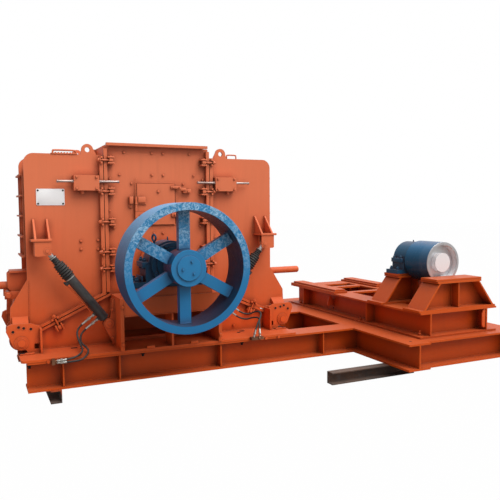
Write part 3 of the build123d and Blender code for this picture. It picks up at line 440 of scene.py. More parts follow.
class Shape:
    """Solids gathered into one mesh, in millimetres of the mill's frame."""

    def __init__(self):
        self.mesh = bmesh.new()

    def take(self, part, matrix=None):
        if matrix is not None:
            bmesh.ops.transform(part, matrix=matrix, verts=part.verts)
        keep = bpy.data.meshes.new("part")
        part.to_mesh(keep)
        part.free()
        self.mesh.from_mesh(keep)
        bpy.data.meshes.remove(keep)

    def box(self, low, high, bevel=2.0, turn=None):
        part = bmesh.new()
        bmesh.ops.create_cube(part, size=1.0)
        size = [high[i] - low[i] for i in range(3)]
        bmesh.ops.scale(part, vec=size, verts=part.verts)
        bevel = min(bevel, 0.3 * min(size))
        bmesh.ops.bevel(part, geom=part.edges[:], offset=bevel, segments=2, affect="EDGES", profile=0.5)
        centre = Vector([(high[i] + low[i]) / 2 for i in range(3)])
        self.take(part, Matrix.Translation(centre) @ (turn or Matrix()))

    def block(self, centre, half, bevel, turn):
        """Box about its centre, with half its size each way along its turned axes."""
        self.box(centre - Vector(half), centre + Vector(half), bevel, turn)

    def prism(self, outline, front, back, bevel):
        """Outline in X and Z, solid from depth front to depth back."""
        part = bmesh.new()
        near = [part.verts.new((x, front, z)) for x, z in outline]
        far = [part.verts.new((x, back, z)) for x, z in outline]
        skin(part, [far, near])
        bmesh.ops.recalc_face_normals(part, faces=part.faces)
        bmesh.ops.bevel(part, geom=part.edges[:], offset=bevel, segments=1, affect="EDGES")
        self.take(part)

    def lathe(self, profile, origin, direction, steps=28):
        """Closed profile of (radius, height) points, turned about direction through origin."""
        part = bmesh.new()
        rings = []
        for k in range(steps):
            a = 2 * math.pi * k / steps
            rings.append([part.verts.new((r * math.cos(a), r * math.sin(a), h)) for r, h in profile])
        count = len(profile)
        for k in range(steps):
            one, two = rings[k], rings[(k + 1) % steps]
            for i in range(count):
                j = (i + 1) % count
                part.faces.new((one[i], two[i], two[j], one[j]))
        bmesh.ops.remove_doubles(part, verts=part.verts, dist=0.01)
        bmesh.ops.recalc_face_normals(part, faces=part.faces)
        self.take(part, Matrix.Translation(Vector(origin)) @ frame_along(direction))

    def rod(self, start, end, radius, steps=20, chamfer=1.5):
        start, end = Vector(start), Vector(end)
        length = (end - start).length
        c = min(chamfer, 0.4 * radius, 0.4 * length)
        profile = [(0, 0), (radius - c, 0), (radius, c),
                   (radius, length - c), (radius - c, length), (0, length)]
        self.lathe(profile, start, end - start, steps)

    def ring(self, centre, direction, outer, inner, width, steps=32):
        c = 0.18 * min(width, outer - inner)
        h = width / 2
        profile = [(inner, -h + c), (inner + c, -h), (outer - c, -h), (outer, -h + c),
                   (outer, h - c), (outer - c, h), (inner + c, h), (inner, h - c)]
        self.lathe(profile, centre, direction, steps)

    def hexagon(self, start, direction, across, height, turn=0.0):
        part = bmesh.new()
        r = across / math.sqrt(3)
        levels = ((0.90 * r, 0), (r, 0.12 * height), (r, 0.82 * height), (0.80 * r, height))
        skin(part, [ring_of(part, radius, h, 6, turn) for radius, h in levels])
        self.take(part, Matrix.Translation(Vector(start)) @ frame_along(direction))

    def bolt(self, at, normal, across=30.0, stud=0.0):
        """Washer and hexagon on a face; with a stud it is a nut on a threaded end."""
        at, normal = Vector(at), Vector(normal).normalized()
        washer = 3.5
        top = washer + 0.62 * across
        self.rod(at - normal, at + normal * washer, 0.66 * across, 18, 0.8)
        self.hexagon(at + normal * washer, normal, across, 0.62 * across, random.uniform(0, 1.0))
        if stud:
            self.rod(at + normal * washer, at + normal * (top + stud), 0.31 * across, 14, 2.0)

    def tube(self, points, radius):
        """Round bar through the points, with its corners rounded by a spline."""
        curve = line_through(points, 6)
        curve.bevel_depth = radius
        curve.bevel_resolution = 2
        curve.use_fill_caps = True
        made = meshed(curve)
        self.mesh.from_mesh(made)
        bpy.data.curves.remove(curve)
        bpy.data.meshes.remove(made)

    def weld(self, start, end, size=6.0, pitch=9.0):
        """Rippled fillet weld along a line."""
        start, end = Vector(start), Vector(end)
        length = (end - start).length
        count = max(4, int(length / pitch))
        part = bmesh.new()
        rings = []
        for i in range(count + 1):
            r = size * (0.86 + 0.22 * (i % 2) + random.uniform(-0.05, 0.05))
            if i in (0, count):
                r *= 0.55
            rings.append(ring_of(part, r, length * i / count, 6))
        skin(part, rings)
        self.take(part, Matrix.Translation(start) @ frame_along(end - start))

    def copied(self, left=False, rear=False):
        other = Shape()
        other.mesh.free()
        other.mesh = self.mesh.copy()
        for vert in other.mesh.verts:
            if left:
                vert.co.x = -vert.co.x
            if rear:
                vert.co.y = REAR - vert.co.y
        if left != rear:
            bmesh.ops.reverse_faces(other.mesh, faces=other.mesh.faces)
        return other

    def joined(self, other):
        whole = self.copied()
        keep = bpy.data.meshes.new("part")
        other.mesh.to_mesh(keep)
        whole.mesh.from_mesh(keep)
        bpy.data.meshes.remove(keep)
        return whole

    def front_and_rear(self, left=False):
        return self.copied(left=left).joined(self.copied(left=left, rear=True))


def smooth_mesh(mesh, angle=0.62):
    mesh.shade_smooth()
    mesh.set_sharp_from_angle(angle=angle)


def piece(shape, name, look="orange_paint", body="root", ride=True):
    """Makes the shape a piece in metres that rides on its body, or is left unattached."""
    mesh = bpy.data.meshes.new(name)
    bmesh.ops.scale(shape.mesh, vec=(0.001, 0.001, 0.001), verts=shape.mesh.verts)
    bmesh.ops.translate(shape.mesh, vec=SHIFT, verts=shape.mesh.verts)
    shape.mesh.to_mesh(mesh)
    shape.mesh.free()
    smooth_mesh(mesh)
    made = linked(name, mesh)
    mesh.materials.append(looks[look])
    if ride:
        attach(made, body)
    return made


def everywhere(shape, name, look="orange_paint", bodies=("root", "root")):
    """The right front shape at its four mirrored places, one piece a side."""
    piece(shape.front_and_rear(), f"right_{name}", look, bodies[1])
    piece(shape.front_and_rear(left=True), f"left_{name}", look, bodies[0])


place_camera()
looks = make_materials()


# Looks of the frame's nodes; the others have plain orange paint
NODE_LOOKS = {
    "blue_paint": ("mill_pulley",),
    "bearing_paint": ("bearing_front", "bearing_rear", "jackshaft_bearing"),
    "drum_paint": ("jackshaft_pulley",),
    "bright_steel": ("jackshaft", "left_cylinder_rods", "right_cylinder_rods"),
    "cast_steel": ("rotor_core", "hammers", "left_breaker_plate", "right_breaker_plate"),
    "rusty_steel": ("cross_sleepers", "sleeper_right"),
    "sprayed_steel": ("sleeper_left",),
    "plate_aluminium": ("nameplate",),
    "sprayed_fittings": ("hose_fittings",),
    "frame_paint": ("base_girder_front", "base_girder_rear", "cross_girder_left", "cross_girder_right",
                    "front_beam", "inner_beams", "motor_beam_left", "motor_beam_right",
                    "motor_crossbeams", "motor_pads", "saddle_front", "saddle_rear"),
    "dark_paint": ("left_cylinder_barrels", "right_cylinder_barrels"),
    "black_rubber": ("left_bellows", "right_bellows"),
}


def dress_nodes():
    chosen = {name: look for look, names in NODE_LOOKS.items() for name in names}
    for name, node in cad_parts.items():
        look = looks[chosen.get(name, "orange_paint")]
        if not node.data.materials:
            node.data.materials.append(look)
        for slot in node.material_slots:
            slot.material = look


def seam_bolts():
    """Swing bolts across the upright seams and the sloping ones, with their ears."""
    ears = Shape()
    bolts = Shape()
    lugs = Shape()
    slope = math.radians(24.8)
    places = [(Vector((505, 0, z)), Vector((1, 0, 0))) for z in (1925, 1648, 1374, 1104, 955)]
    places.append((Vector((950, 0, 519)), Vector((math.sin(slope), 0, math.cos(slope)))))
    for origin, u in places:
        w = Vector((u.z, 0.0, -u.x))
        turn = turned(u, ACROSS, w)
        pin = origin - u * 64 + Vector((0, -52, 0))
        for side in (-1, 1):
            ears.block(origin + w * side * 26 - u * 64 + Vector((0, -37, 0)), (30, 36, 7), 5.0, turn)
            lugs.block(origin + w * side * 24 + u * 20 + Vector((0, -52, 0)), (9, 14, 10), 3.0, turn)
            bolts.block(pin + Vector((0, side * 14.5, 0)), (17, 4.5, 13), 3.0, turn)
        ears.rod(pin - w * 41, pin + w * 41, 9, 16)
        bolts.rod(pin + u * 12, pin + u * 122, 8.6, 16)
        bolts.ring(pin + u * 96.5, u, 22, 9, 7)
        bolts.hexagon(pin + u * 100, u, 31, 16, random.uniform(0, 1))
    everywhere(ears, "seam_ears")
    everywhere(lugs, "seam_lugs", bodies=CASES)
    everywhere(bolts, "seam_swing_bolts", bodies=CASES)


def panel_bolts():
    """Screws of the panels and cases, and the locking rods in their boxes."""
    heads = Shape()
    for x, z in ((312, 2003), (54, 2001), (356, 1802), (54, 1802), (443, 1762), (248, 1722),
                 (454, 1476), (44, 1262), (415, 1319)):
        for side in (-1, 1):
            heads.bolt((side * x, 0, z), FRONT, 19)
    case = Shape()
    for x, z in ((711, 1208), (562, 1212), (712, 1136), (564, 1131)):
        case.bolt((x, 0, z), FRONT, 22)
    for z in (1771, 1671):
        for x in (577, 747):
            case.bolt((x, -80, z), FRONT, 18)
    case.rod((692, -38, 1655), (692, -38, 1624), 15, 18, 3)
    piece(heads.front_and_rear(), "panel_bolts")
    everywhere(case, "case_bolts", bodies=CASES)
    rods = Shape()
    y, z = -56, 1733
    for start, end in ((372, 551.5), (770.5, 912)):
        rods.rod((start, y, z), (end, y, z), 11, 24, 2)
    for start, end in ((371, 386), (538, 550), (772, 784), (898, 913)):
        rods.rod((start, y, z), (end, y, z), 14, 24, 3)
    rods.hexagon((545, y, z), (1, 0, 0), 30, 7)
    rods.hexagon((770, y, z), (1, 0, 0), 30, 9)
    everywhere(rods, "locking_rods", "scoured_steel", CASES)


def door_fittings():
    """Hinge block, latches and screws of the inspection door."""
    fixed = Shape()
    fixed.box((-278, -52, 1536), (-245, -1, 1602), 4)
    fixed.box((-276, -14, 1500), (-246, -1, 1536), 3)
    fixed.rod((-214, -26, 1538), (-214, -26, 1600), 11, 18)
    fixed.box((236, -44, 1634), (316, -1, 1672), 6)
    fixed.rod((288, -44, 1653), (288, -56, 1653), 12, 18)
    fixed.box((172, -40, 1400), (196, -1, 1462), 4)
    fixed.rod((-214, -26, 1592), (-214, -26, 1772), 4, 12)
    moving = Shape()
    moving.box((118, -40, 1676), (208, -20, 1700), 4)
    moving.box((208, -56, 1658), (262, -44.5, 1684), 4)
    moving.box((196, -56, 1668), (212, -22, 1694), 4)
    moving.rod((140, -40, 1688), (140, -52, 1688), 10, 18)
    moving.box((122, -38, 1412), (168, -20, 1452), 5)
    moving.rod((150, -38, 1432), (150, -60, 1432), 8, 16)
    moving.bolt((-1, -20, 1650), FRONT, 22)
    moving.box((-198, -46, 1545), (-128, -31, 1600), 5)
    for x in (-178, -140):
        moving.bolt((x, -32, 1430), FRONT, 15)
    frame_strip = Shape()
    frame_strip.box((-207, -5.4, 1724), (171, -0.5, 1734), 1.5)
    frame_strip.box((170, -5.4, 1336), (180, -0.5, 1734), 1.5)
    frame_strip.box((-207, -5.4, 1330), (180, -0.5, 1338), 1.5)
    piece(fixed, "door_catches")
    piece(frame_strip, "door_surround")
    piece(moving, "door_latches", body="inspection_door")


def top_handles():
    right = Shape()
    right.tube([(706, 12, 1966), (706, 12, 2004), (712, 12, 2010), (798, 12, 2010),
                (806, 12, 2004), (806, 12, 1966)], 7)
    left = Shape()
    left.tube([(-930, 12, 1966), (-930, 12, 2000), (-924, 12, 2006), (-742, 12, 2006),
               (-736, 12, 2000), (-736, 12, 1966)], 8)
    left.box((-948, -8, 1971), (-724, 60, 1979), 2)
    for k in range(9):
        x = -936 + k * 25
        left.box((x, -4, 1978), (x + 12, 56, 1988), 2)
    piece(right.front_and_rear(), "right_top_handles", body="right_case")
    piece(left.front_and_rear(), "left_top_handles", body="left_case")


def case_welds():
    """Welds and the folded line on the cases, the end ribs' edges and the shelf bolts."""
    welds = Shape()
    for x in (988, 1008, 1100, 1120):
        welds.weld((x, -1, 1238), (x, -1, 1404), 4)
        welds.weld((x, -4, 1238), (x, -176, 1238), 4)
    for x0, x1, z in ((984, 1142, 1239), (984, 1142, 1220), (554, 768, 1652), (554, 768, 1788)):
        welds.weld((x0, -1, z), (x1, -1, z), 4)
    shelf_edge = Shape()
    shelf_edge.box((979, -201, 1219), (1147, -182, 1240), 4)
    everywhere(shelf_edge, "shelf_edges", bodies=CASES)
    fold = Shape()
    fold.weld((-1165, -4, 470), (-1160, -4, 870), 2.6, 14)
    piece(fold.front_and_rear(), "left_fold_welds", body="left_case")
    shelf = Shape()
    shelf.ring((1020, -193, 1139), FRONT, 30, 16, 5)
    shelf.rod((1020, -188, 1139), (1020, -202, 1139), 16, 24, 2)
    everywhere(welds.joined(shelf), "case_welds", bodies=CASES)


def end_lug():
    """Small tie lug with its bolt on the left case's bulge."""
    lug = Shape()
    for y in (180.0, 420.0):
        lug.box((-1350, y - 7, 702), (-1196, y + 7, 770), 6)
    lug.rod((-1318, 150, 738), (-1318, 450, 738), 22, 20)
    for y in (162.0, 438.0):
        lug.hexagon((-1318, y, 738), BACK if y > REAR / 2 else FRONT, 46, 22)
    piece(lug, "left_tie_lug", body="left_case")


BRACKET_HOLES = ((1166, 478), (1222, 489), (1262, 500), (1308, 464))


def bracket_details():
    """Hinge pin caps, bracket bolts, foot plates and welds."""
    fixed = Shape()
    for x, z in BRACKET_HOLES:
        fixed.ring((x, -126, z), BACK, 18, 12, 4)
    fixed.ring((HINGE[0], -136, HINGE[1]), BACK, 44, 27, 6)
    fixed.rod((HINGE[0], -130, HINGE[1]), (HINGE[0], -146, HINGE[1]), 27, 30, 3)
    sunk = BASE_TOP - 1
    fixed.box((1146, -176, sunk), (1262, -132, BASE_TOP + 11), 3)
    fixed.bolt((756, -2, 316), FRONT, 20)
    for x in (926, 1059):
        fixed.hexagon((x, -388, 244), FRONT, 26, 16)
    seam = BASE_TOP + 1
    fixed.weld((1098, -98, BASE_TOP + 2), (1098, -98, 478), 5)
    fixed.weld((1100, -126, seam), (1190, -126, seam), 5)
    fixed.weld((1060, -3, seam), (480, -3, seam), 5)
    everywhere(fixed, "bracket_fittings")
    # Near-black discs and boxes in the bracket's holes and slots: painted shade.
    dark = Shape()
    for x, z in BRACKET_HOLES:
        dark.rod((x, -124, z), (x, -127.2, z), 12.4, 20, 0.5)
    dark.box((782, -104, sunk), (836, -70, BASE_TOP + 1.2), 0.3)
    dark.rod((750, -142, sunk), (750, -142, BASE_TOP + 1.2), 17, 20, 0.2)
    dark.box((1222, -172, sunk), (1266, -138, BASE_TOP + 12.2), 0.3)
    everywhere(dark, "bracket_hole_shade", "hole_shade_and_dark_steel")


def pedestal_details():
    """Foot blocks, clevis pins, bolts and welds of the bearing pedestals."""
    steel = Shape()
    steel.box((165, -404, BASE_TOP - 1), (237, -366, BASE_TOP + 22), 4)
    for z in (650, 330):
        steel.bolt((448, -412, z), FRONT, 24)
    steel.ring((FOOT.x, -198, FOOT.z), BACK, 40, 15, 7)
    steel.rod((FOOT.x, -194, FOOT.z), (FOOT.x, -210, FOOT.z), 17, 24, 2)
    for z in (600, 350):
        steel.bolt((492, -195, z), FRONT, 20)
    steel.weld((467, -405, BASE_TOP + 2), (467, -20, BASE_TOP + 2), 5)
    steel.weld((432, -414, 574), (432, -414, 696), 4)
    steel.weld((12, -414, 568), (430, -414, 568), 4)
    both = steel.joined(steel.copied(left=True))
    piece(both.front_and_rear(), "pedestal_fittings")


def bearing_details():
    """Cap flanges and bolts, base bolts, eyebolts, seal rings and grease nipples."""
    block = Shape()
    for x in (-1, 1):
        block.box((x * 228 - 34, -386, 978), (x * 228 + 34, -184, 1026), 6)
        for y in (-345.0, -225.0):
            block.bolt((x * 232, y, 1026), UP, 34, 14)
            block.hexagon((x * 232, y, 978), DOWN, 34, 18)
            block.bolt((x * 300, y, 852), UP, 38, 16)
        block.box((x * 262 - 8, -376, 852), (x * 262 + 8, -194, 905), 4)
    block.ring(around(ROTOR, -452), BACK, 132, 98, 10, 48)
    for k in range(8):
        block.bolt(around(ROTOR, -450, 168, 22.5 + 45 * k), FRONT, 18)
    eye_x = -137.0
    block.rod((eye_x, -330, 1140), (eye_x, -330, 1206), 11, 16)
    block.ring((eye_x, -330, 1157), UP, 22, 8, 7)
    torus = [(27 + 9 * math.cos(t * math.pi / 5), 9 * math.sin(t * math.pi / 5)) for t in range(10)]
    block.lathe(torus, (eye_x, -330, 1233), (1, 0.35, 0), 26)
    block.rod((0, -285, 1204), (0, -285, 1228), 7, 14)
    block.rod((0, -285, 1226), (0, -285, 1240), 4.5, 12)
    both = block.joined(block.copied(rear=True, left=True))
    piece(both, "bearing_fittings", "bearing_paint")


def pulley_details():
    """Hub screws, weld seams at the spokes and the collar on the shaft."""
    hub = Shape()
    for degrees in (69, 189, 309):
        hub.bolt(around(ROTOR, -878, 58, degrees), FRONT, 17)
    hub.ring(around(ROTOR, -636), BACK, 122, 95, 20, 44)
    hub.ring(around(ROTOR, -755.5), BACK, 152, 132, 221, 72)
    hub.rod(around(ROTOR, -862), around(ROTOR, -873), 104, 64, 3)
    for k in range(6):
        turn = Matrix.Rotation(math.radians(60 * k), 4, "Y")
        seam = Shape()
        for y in (-763.0, -692.0):
            seam.weld((-46, y, 468), (46, y, 468), 6)
            seam.weld((-44, y, 139), (44, y, 139), 5)
        for x in (-49.0, 49.0):
            seam.weld((x, -758, 468), (x, -697, 468), 6)
        placed = Matrix.Translation(around(ROTOR, 0)) @ turn
        bmesh.ops.transform(seam.mesh, matrix=placed, verts=seam.mesh.verts)
        hub = hub.joined(seam)
    piece(hub, "pulley_fittings", "blue_paint", "rotor")


def on_cylinder(s, out=0.0, y=0.0):
    """Point at s along the right front cylinder, out from its axis on the lower side."""
    return FOOT + CYLINDER * s + OUTWARD * out + Vector((0, y, 0))


def cylinder_details():
    """Ports, unions, the line along the barrel, and clamps on the barrels and rods."""
    unions = (146, 93)
    dark = Shape()
    turn = turned(OUTWARD, ACROSS, CYLINDER)
    dark.block(on_cylinder(505, 46), (16, 16, 14), 3, turn)
    for s in unions:
        dark.block(on_cylinder(s, 43), (8, 15, 15), 3, turn)
    dark.ring(on_cylinder(66), CYLINDER, 45, 41, 8, 40)
    dark.rod(on_cylinder(500, 62), on_cylinder(532, 62), 9, 16)
    everywhere(dark, "cylinder_ports", "dark_paint", BARRELS)
    steel = Shape()
    steel.ring(on_cylinder(528), CYLINDER, 47, 42, 9, 44)
    line = Shape()
    run = ((512, 58), (505, 66), (480, 62), (440, 53), (300, 52), (215, 52), (175, 55), (156, 62), (150, 78))
    line.tube([on_cylinder(s, out) for s, out in run], 6.5)
    everywhere(line, "cylinder_lines", bodies=BARRELS)
    for s in unions:
        out = 50.0
        for radius, length, six in ((13, 22, True), (9, 16, False), (12.5, 30, True), (10.5, 36, False)):
            start = on_cylinder(s, out)
            if six:
                steel.hexagon(start, OUTWARD, 2 * radius, length)
            else:
                steel.rod(start, on_cylinder(s, out + length), radius, 18)
            out += length
    everywhere(steel, "cylinder_fittings", "zinc", BARRELS)
    eye = Shape()
    eye.ring(on_cylinder(753), CYLINDER, 33.5, 30, 8, 40)
    everywhere(eye, "bellows_clamps", "zinc", RODS)


# Routes of the front hoses, from the unions on the barrels to the fittings on the base plate
HOSES = {
    "left_upper": [(-727.0, -158, 502.4), (-774.7, -158, 465.9), (-800, -184, 416), (-789, -242, 360),
                   (-779, -301, 324), (-779, -368, 302), (-817, -417, 279), (-879, -430, 261),
                   (-944, -425, 256)],
    "left_lower": [(-694.8, -158, 460.3), (-742.5, -158, 423.8), (-769, -182, 383), (-770, -234, 336),
                   (-728, -339, 309), (-743, -405, 279), (-797, -441, 245), (-872, -438, 236),
                   (-944, -425, 236)],
    "right_upper": [(727.0, -158, 502.4), (774.7, -158, 465.9), (843, -182, 447), (900, -232, 486),
                    (920, -302, 482), (882, -362, 440), (830, -398, 385), (803, -410, 318)],
    "right_lower": [(694.8, -158, 460.3), (742.5, -158, 423.8), (812, -184, 401), (872, -233, 428),
                    (902, -304, 430), (868, -372, 390), (852, -408, 322)],
}
HOSE_RADIUS = 0.008  # metres


def points_along(curve):
    made = meshed(curve)
    found = [vert.co.copy() for vert in made.vertices]
    bpy.data.meshes.remove(made)
    return found


def hose_mesh(name, path, radius):
    """Round tube around the path, closed at both ends, in metres."""
    part = bmesh.new()
    rings = []
    side = ACROSS
    steps = 14
    angles = [2 * math.pi * k / steps for k in range(steps)]
    for i, here in enumerate(path):
        before = path[max(0, i - 1)]
        after = path[min(len(path) - 1, i + 1)]
        along = (after - before).normalized()
        side = (side - along * side.dot(along)).normalized()
        other = along.cross(side)
        rings.append([part.verts.new(here + (side * math.cos(a) + other * math.sin(a)) * radius)
                      for a in angles])
    skin(part, rings)
    mesh = bpy.data.meshes.new(name)
    part.to_mesh(mesh)
    part.free()
    smooth_mesh(mesh, 0.9)
    made = linked(name, mesh)
    mesh.materials.append(looks["hose_rubber"])
    return made


def make_hoses():
    """Hydraulic hoses between the base and the swinging barrels."""
    for which, route in HOSES.items():
        for end, rear in (("front", False), ("rear", True)):
            points = [metres(x, REAR - y if rear else y, z) for x, y, z in route]
            path = points_along(line_through(points))
            tube = hose_mesh(f"{which}_hydraulic_hose_{end}", path, HOSE_RADIUS)
            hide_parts(f"{which}_hose_{end}")
            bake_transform(tube)


def hose_ends():
    """Swaged ferrules and nuts where the hoses meet the unions and the fittings."""
    still = {"left": Shape(), "right": Shape()}
    moving = {"left": Shape(), "right": Shape()}
    for which, route in HOSES.items():
        side = which.split("_")[0]
        start, after = Vector(route[0]), Vector(route[1])
        end, before = Vector(route[-1]), Vector(route[-2])
        out = (after - start).normalized()
        moving[side].rod(start - out * 4, start + out * 26, 10.5, 18, 1.5)
        away = (end - before).normalized()
        still[side].rod(end - away * 26, end + away * 6, 10.5, 18, 1.5)
        still[side].hexagon(end + away * 6, away, 24, 20)
        still[side].rod(end + away * 26, end + away * 52, 9.2, 18, 1)
        still[side].hexagon(end + away * 40, away, 21, 10)
    for side in ("left", "right"):
        piece(still[side].front_and_rear(), f"{side}_hose_nuts", "zinc")
        piece(moving[side].front_and_rear(), f"{side}_hose_ferrules", "zinc",
              f"{side}_barrels")


def make_bellows():
    """Folded rubber gaiters between barrel and rod."""
    start = 537.0
    end = 760.0
    outer = [(47.0, start), (47.0, start + 12)]
    for first, pitch, folds, crest, step, root in ((551.0, 23.2, 6, 57.5, 1.7, 43.0),
                                                   (690.5, 18.0, 3, 35.5, 2.4, 27.6)):
        for k in range(folds):
            base = first + k * pitch
            top = crest - step * k
            outer += [(root, base), (top - 7, base + 0.20 * pitch), (top - 1, base + 0.40 * pitch),
                      (top, base + 0.52 * pitch), (top - 1.5, base + 0.64 * pitch),
                      (top - 8, base + 0.84 * pitch)]
    outer += [(27.6, 745.0), (31.0, 747.0), (31.0, end)]
    inner = [(26.0, end), (26.0, start)]
    for side, flip in (("right", 1), ("left", -1)):
        gaiter = Shape()
        gaiter.lathe(outer + inner, FOOT, CYLINDER, 40)
        both = gaiter.front_and_rear(left=side == "left")
        made = piece(both, f"{side}_folded_bellows", "black_rubber", ride=False)
        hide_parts(f"{side}_bellows")
        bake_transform(made)


def plate_details():
    """Bare face of the name plate and its screws."""
    face = Shape()
    face.box((-1069, -5.2, 1534), (-851, -3.5, 1659), 0.4)
    piece(face, "plate_face", "plate_face", "left_case")
    screws = Shape()
    for x in (-1064, -856):
        for z in (1539, 1654):
            screws.rod((x, -4, z), (x, -9, z), 8, 20, 2)
    piece(screws, "plate_screws", "hole_shade_and_dark_steel", "left_case")


def girder_details():
    """Welds of the base girders and the bolt ends under the base plates."""
    steel = Shape()
    dark = Shape()
    for x in (-1203, -258, 700):
        dark.hexagon((x, -330, 232), DOWN, 36, 22)
        dark.rod((x, -330, 214), (x, -330, 191), 11, 16)
    for x in (-940, -470, 470, 1583):
        for s in (-7, 7):
            steel.weld((x + s, -276, 20), (x + s, -276, 230), 4)
            steel.weld((x + s, -384, 19), (x + s, -276, 19), 4)
    for z in (233, 17):
        steel.weld((-1215, -273, z), (1930, -273, z), 4.5, 12)
    piece(steel.front_and_rear(), "girder_welds", "frame_paint")
    piece(dark.front_and_rear(), "girder_bolt_ends", "hole_shade_and_dark_steel")


def motor_frame_details():
    """Lugs, bolts, holes and welds of the motor frame and its saddles."""
    steel = Shape()
    left = MOTOR_X - 354.0
    right = MOTOR_X + 354.0
    lugs = Shape()
    lugs.prism([(left - 7, 325), (left - 86, 325), (left - 94, 345), (left - 84, 400), (left - 66, 436),
                (left - 54, 446), (left - 40, 438), (left - 20, 405), (left - 7, 392)], 538, 552, 2)
    lugs.prism([(right - 7, 291), (right - 44, 291), (right - 52, 320), (right - 52, 430),
                (right - 38, 470), (right - 7, 482)], -1112, -1098, 2)
    piece(lugs, "motor_frame_lugs")
    steel.bolt((left - 61, -1035, 268), UP, 28, 24)
    for x in (left, right):
        for y in (-120.0, 1180.0):
            for s in (-1, 1):
                steel.bolt((x + s * 92, y, 268), UP, 28, 8)
    # Near-black discs in the frame's holes: painted shade.
    holes = Shape()
    holes.rod((2044, -1138, 249.6), (2044, -1138, 250.7), 12, 20, 0.2)
    holes.rod((2011, -1166, 17.6), (2011, -1166, 18.7), 11, 20, 0.2)
    holes.rod((left - 7.8, 545, 295), (left - 6.4, 545, 295), 12, 20, 0.2)
    piece(holes, "motor_frame_hole_shade", "hole_shade_and_dark_steel")
    for y in (-1000.0, -426.0):
        for s in (-1, 1):
            for t in (-1, 1):
                steel.weld((MOTOR_X + s * 7, y + t * 12, 520), (MOTOR_X + s * 7, y + t * 12, 754), 4)
        for t in (-1, 1):
            steel.weld((MOTOR_X - 400, y + t * 9, 518), (MOTOR_X + 400, y + t * 9, 518), 4.5)
            steel.weld((MOTOR_X - 240, y + t * 9, 757), (MOTOR_X + 240, y + t * 9, 757), 4.5)
    for x, y0 in ((2266.5, 352.0), (3041.5, 590.0)):
        for k in range(4):
            y = y0 + 60 + k * (1300 - y0) / 4
            steel.rod((x + 6, y, 534), (x + 6, y, 538.5), 13, 18, 1)
    for x, s in ((left - 7, -1), (left + 7, 1), (right - 7, -1), (right + 7, 1)):
        for z in (269, 477):
            steel.weld((x, -1105, z), (x, 1370, z), 4.5, 13)
    piece(steel, "motor_frame_fittings", "frame_paint")


def jackshaft_block_details():
    """Flanges, bolts, seal ring and grease nipple of the jackshaft's bearing block."""
    block = Shape()
    y0, y1 = -524.0, -352.0
    for s in (-1, 1):
        block.box((MOTOR_X + s * 196 - 26, y0, 912), (MOTOR_X + s * 196 + 26, y1, 956), 5)
        for y in (-490.0, -386.0):
            block.bolt((MOTOR_X + s * 206, y, 956), UP, 26, 10)
            block.bolt((MOTOR_X + s * 244, y, 838), UP, 32, 12)
    block.ring(around(JACKSHAFT, -341), BACK, 120, 57, 12, 44)
    for k in range(6):
        block.bolt(around(JACKSHAFT, -335, 92, 30 + 60 * k), BACK, 16)
    block.rod((MOTOR_X, -440, 1118), (MOTOR_X, -440, 1140), 6, 14)
    piece(block, "jackshaft_block_fittings", "bearing_paint")


def jackshaft_details():
    """Bare turned faces on the jackshaft pulley's web, and its clamping bush."""
    face = Shape()
    face.ring(around(JACKSHAFT, -883), BACK, 204, 176, 6, 64)
    face.rod(around(JACKSHAFT, -816), around(JACKSHAFT, -826), 174, 64, 3)
    face.rod(around(JACKSHAFT, -818), around(JACKSHAFT, -858), 92, 48, 4)
    for k in range(3):
        face.bolt(around(JACKSHAFT, -858, 68, 90 + 120 * k), FRONT, 18)
    face.rod(around(JACKSHAFT, -856), around(JACKSHAFT, -874), 46, 32, 3)
    piece(face, "jackshaft_pulley_face", "turned_face", "jackshaft")
    end = Shape()
    end.ring(around(JACKSHAFT, -244), BACK, 54.5, 10, 10, 36)
    piece(end, "jackshaft_end", "bright_steel", "jackshaft")


def rotor_details():
    """Hammer pin nuts on the outer discs and the bare shaft end at the rear."""
    nuts = Shape()
    for k in range(4):
        nuts.bolt(around(ROTOR, 72, 375, 45 + 90 * k), FRONT, 44, 10)
        nuts.bolt(around(ROTOR, 528, 375, 45 + 90 * k), BACK, 44, 10)
    piece(nuts, "hammer_pin_nuts", "cast_steel", "rotor")
    end = Shape()
    end.ring(around(ROTOR, 1012), BACK, 94, 12, 8, 44)
    end.box((-14, 860, AXIS_Z + 90), (14, 1006, AXIS_Z + 101), 2)
    piece(end, "shaft_end", "bright_steel", "rotor")


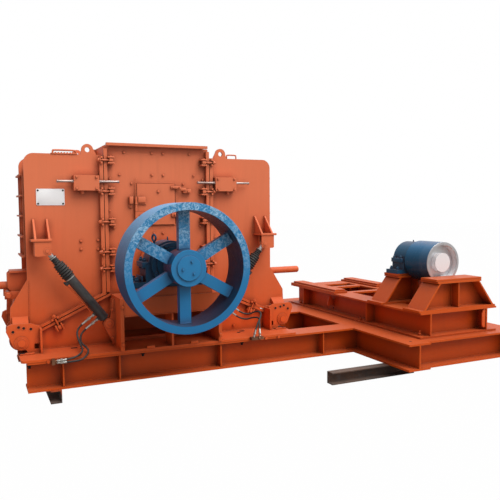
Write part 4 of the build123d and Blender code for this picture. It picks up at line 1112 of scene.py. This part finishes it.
def stage():
    """Pale floor, which is white to the camera and plain grey-brown to the object."""
    g = Graph("studio_floor")
    g.finish(g.mix(g.noise(0.8, 3.0), (0.32, 0.28, 0.25), (0.36, 0.31, 0.28)), 0.85)
    g.shader.inputs["Specular IOR Level"].default_value = 0.1
    seen = g.times(g.node("LightPath").outputs["Is Camera Ray"], 0.99)
    glow = g.node("Emission").outputs["Emission"]
    blend = g.node("MixShader", {"Fac": seen, 1: g.shader.outputs["BSDF"], 2: glow})
    g.feed(g.tree.nodes["Material Output"].inputs["Surface"], blend.outputs["Shader"])
    mesh = bpy.data.meshes.new("floor")
    part = bmesh.new()
    bmesh.ops.create_circle(part, cap_ends=True, segments=96, radius=60.0)
    part.to_mesh(mesh)
    part.free()
    floor = linked("floor", mesh)
    floor.location = (0, 0, -0.0005)
    mesh.materials.append(g.owner)


def light():
    """Sky that is dimmer low down and toward the left, white to the camera, and a soft sun."""
    g = Graph("studio", "worlds")
    bpy.context.scene.world = g.owner
    direction = g.node("TexCoord").outputs["Generated"]
    level = g.band(g.axis("Z", direction), -0.1, 0.9, 0.50, 1.15)
    shade = g.band(g.axis("X", direction), -0.9, 0.1, 0.28, 1.0)
    sky = g.tree.nodes["Background"]
    g.feed(sky.inputs["Color"], (0.97, 0.985, 1.0))
    strength = g.node("Math", {0: level, 1: shade}, operation="MULTIPLY")
    g.feed(sky.inputs["Strength"], strength.outputs["Value"])
    white = g.node("Background", {"Color": (1.0, 1.0, 1.0)}).outputs["Background"]
    seen = g.node("LightPath").outputs["Is Camera Ray"]
    choose = g.node("MixShader", {"Fac": seen, 1: sky.outputs["Background"], 2: white})
    g.feed(g.tree.nodes["World Output"].inputs["Surface"], choose.outputs["Shader"])
    sun = bpy.data.lights.new("soft_sun", "SUN")
    sun.energy = 1.9
    sun.angle = 0.7
    sun.color = (1.0, 0.97, 0.93)
    lamp = linked("soft_sun", sun)
    lamp.rotation_euler = Vector((-0.28, 0.55, -0.80)).to_track_quat("-Z", "Y").to_euler()


make_hoses()
dress_nodes()
hose_ends()
seam_bolts()
panel_bolts()
door_fittings()
top_handles()
case_welds()
end_lug()
bracket_details()
pedestal_details()
bearing_details()
pulley_details()
cylinder_details()
make_bellows()
plate_details()
girder_details()
motor_frame_details()
jackshaft_block_details()
jackshaft_details()
rotor_details()
stage()
light()

bpy.context.scene.view_settings.view_transform = "Standard"
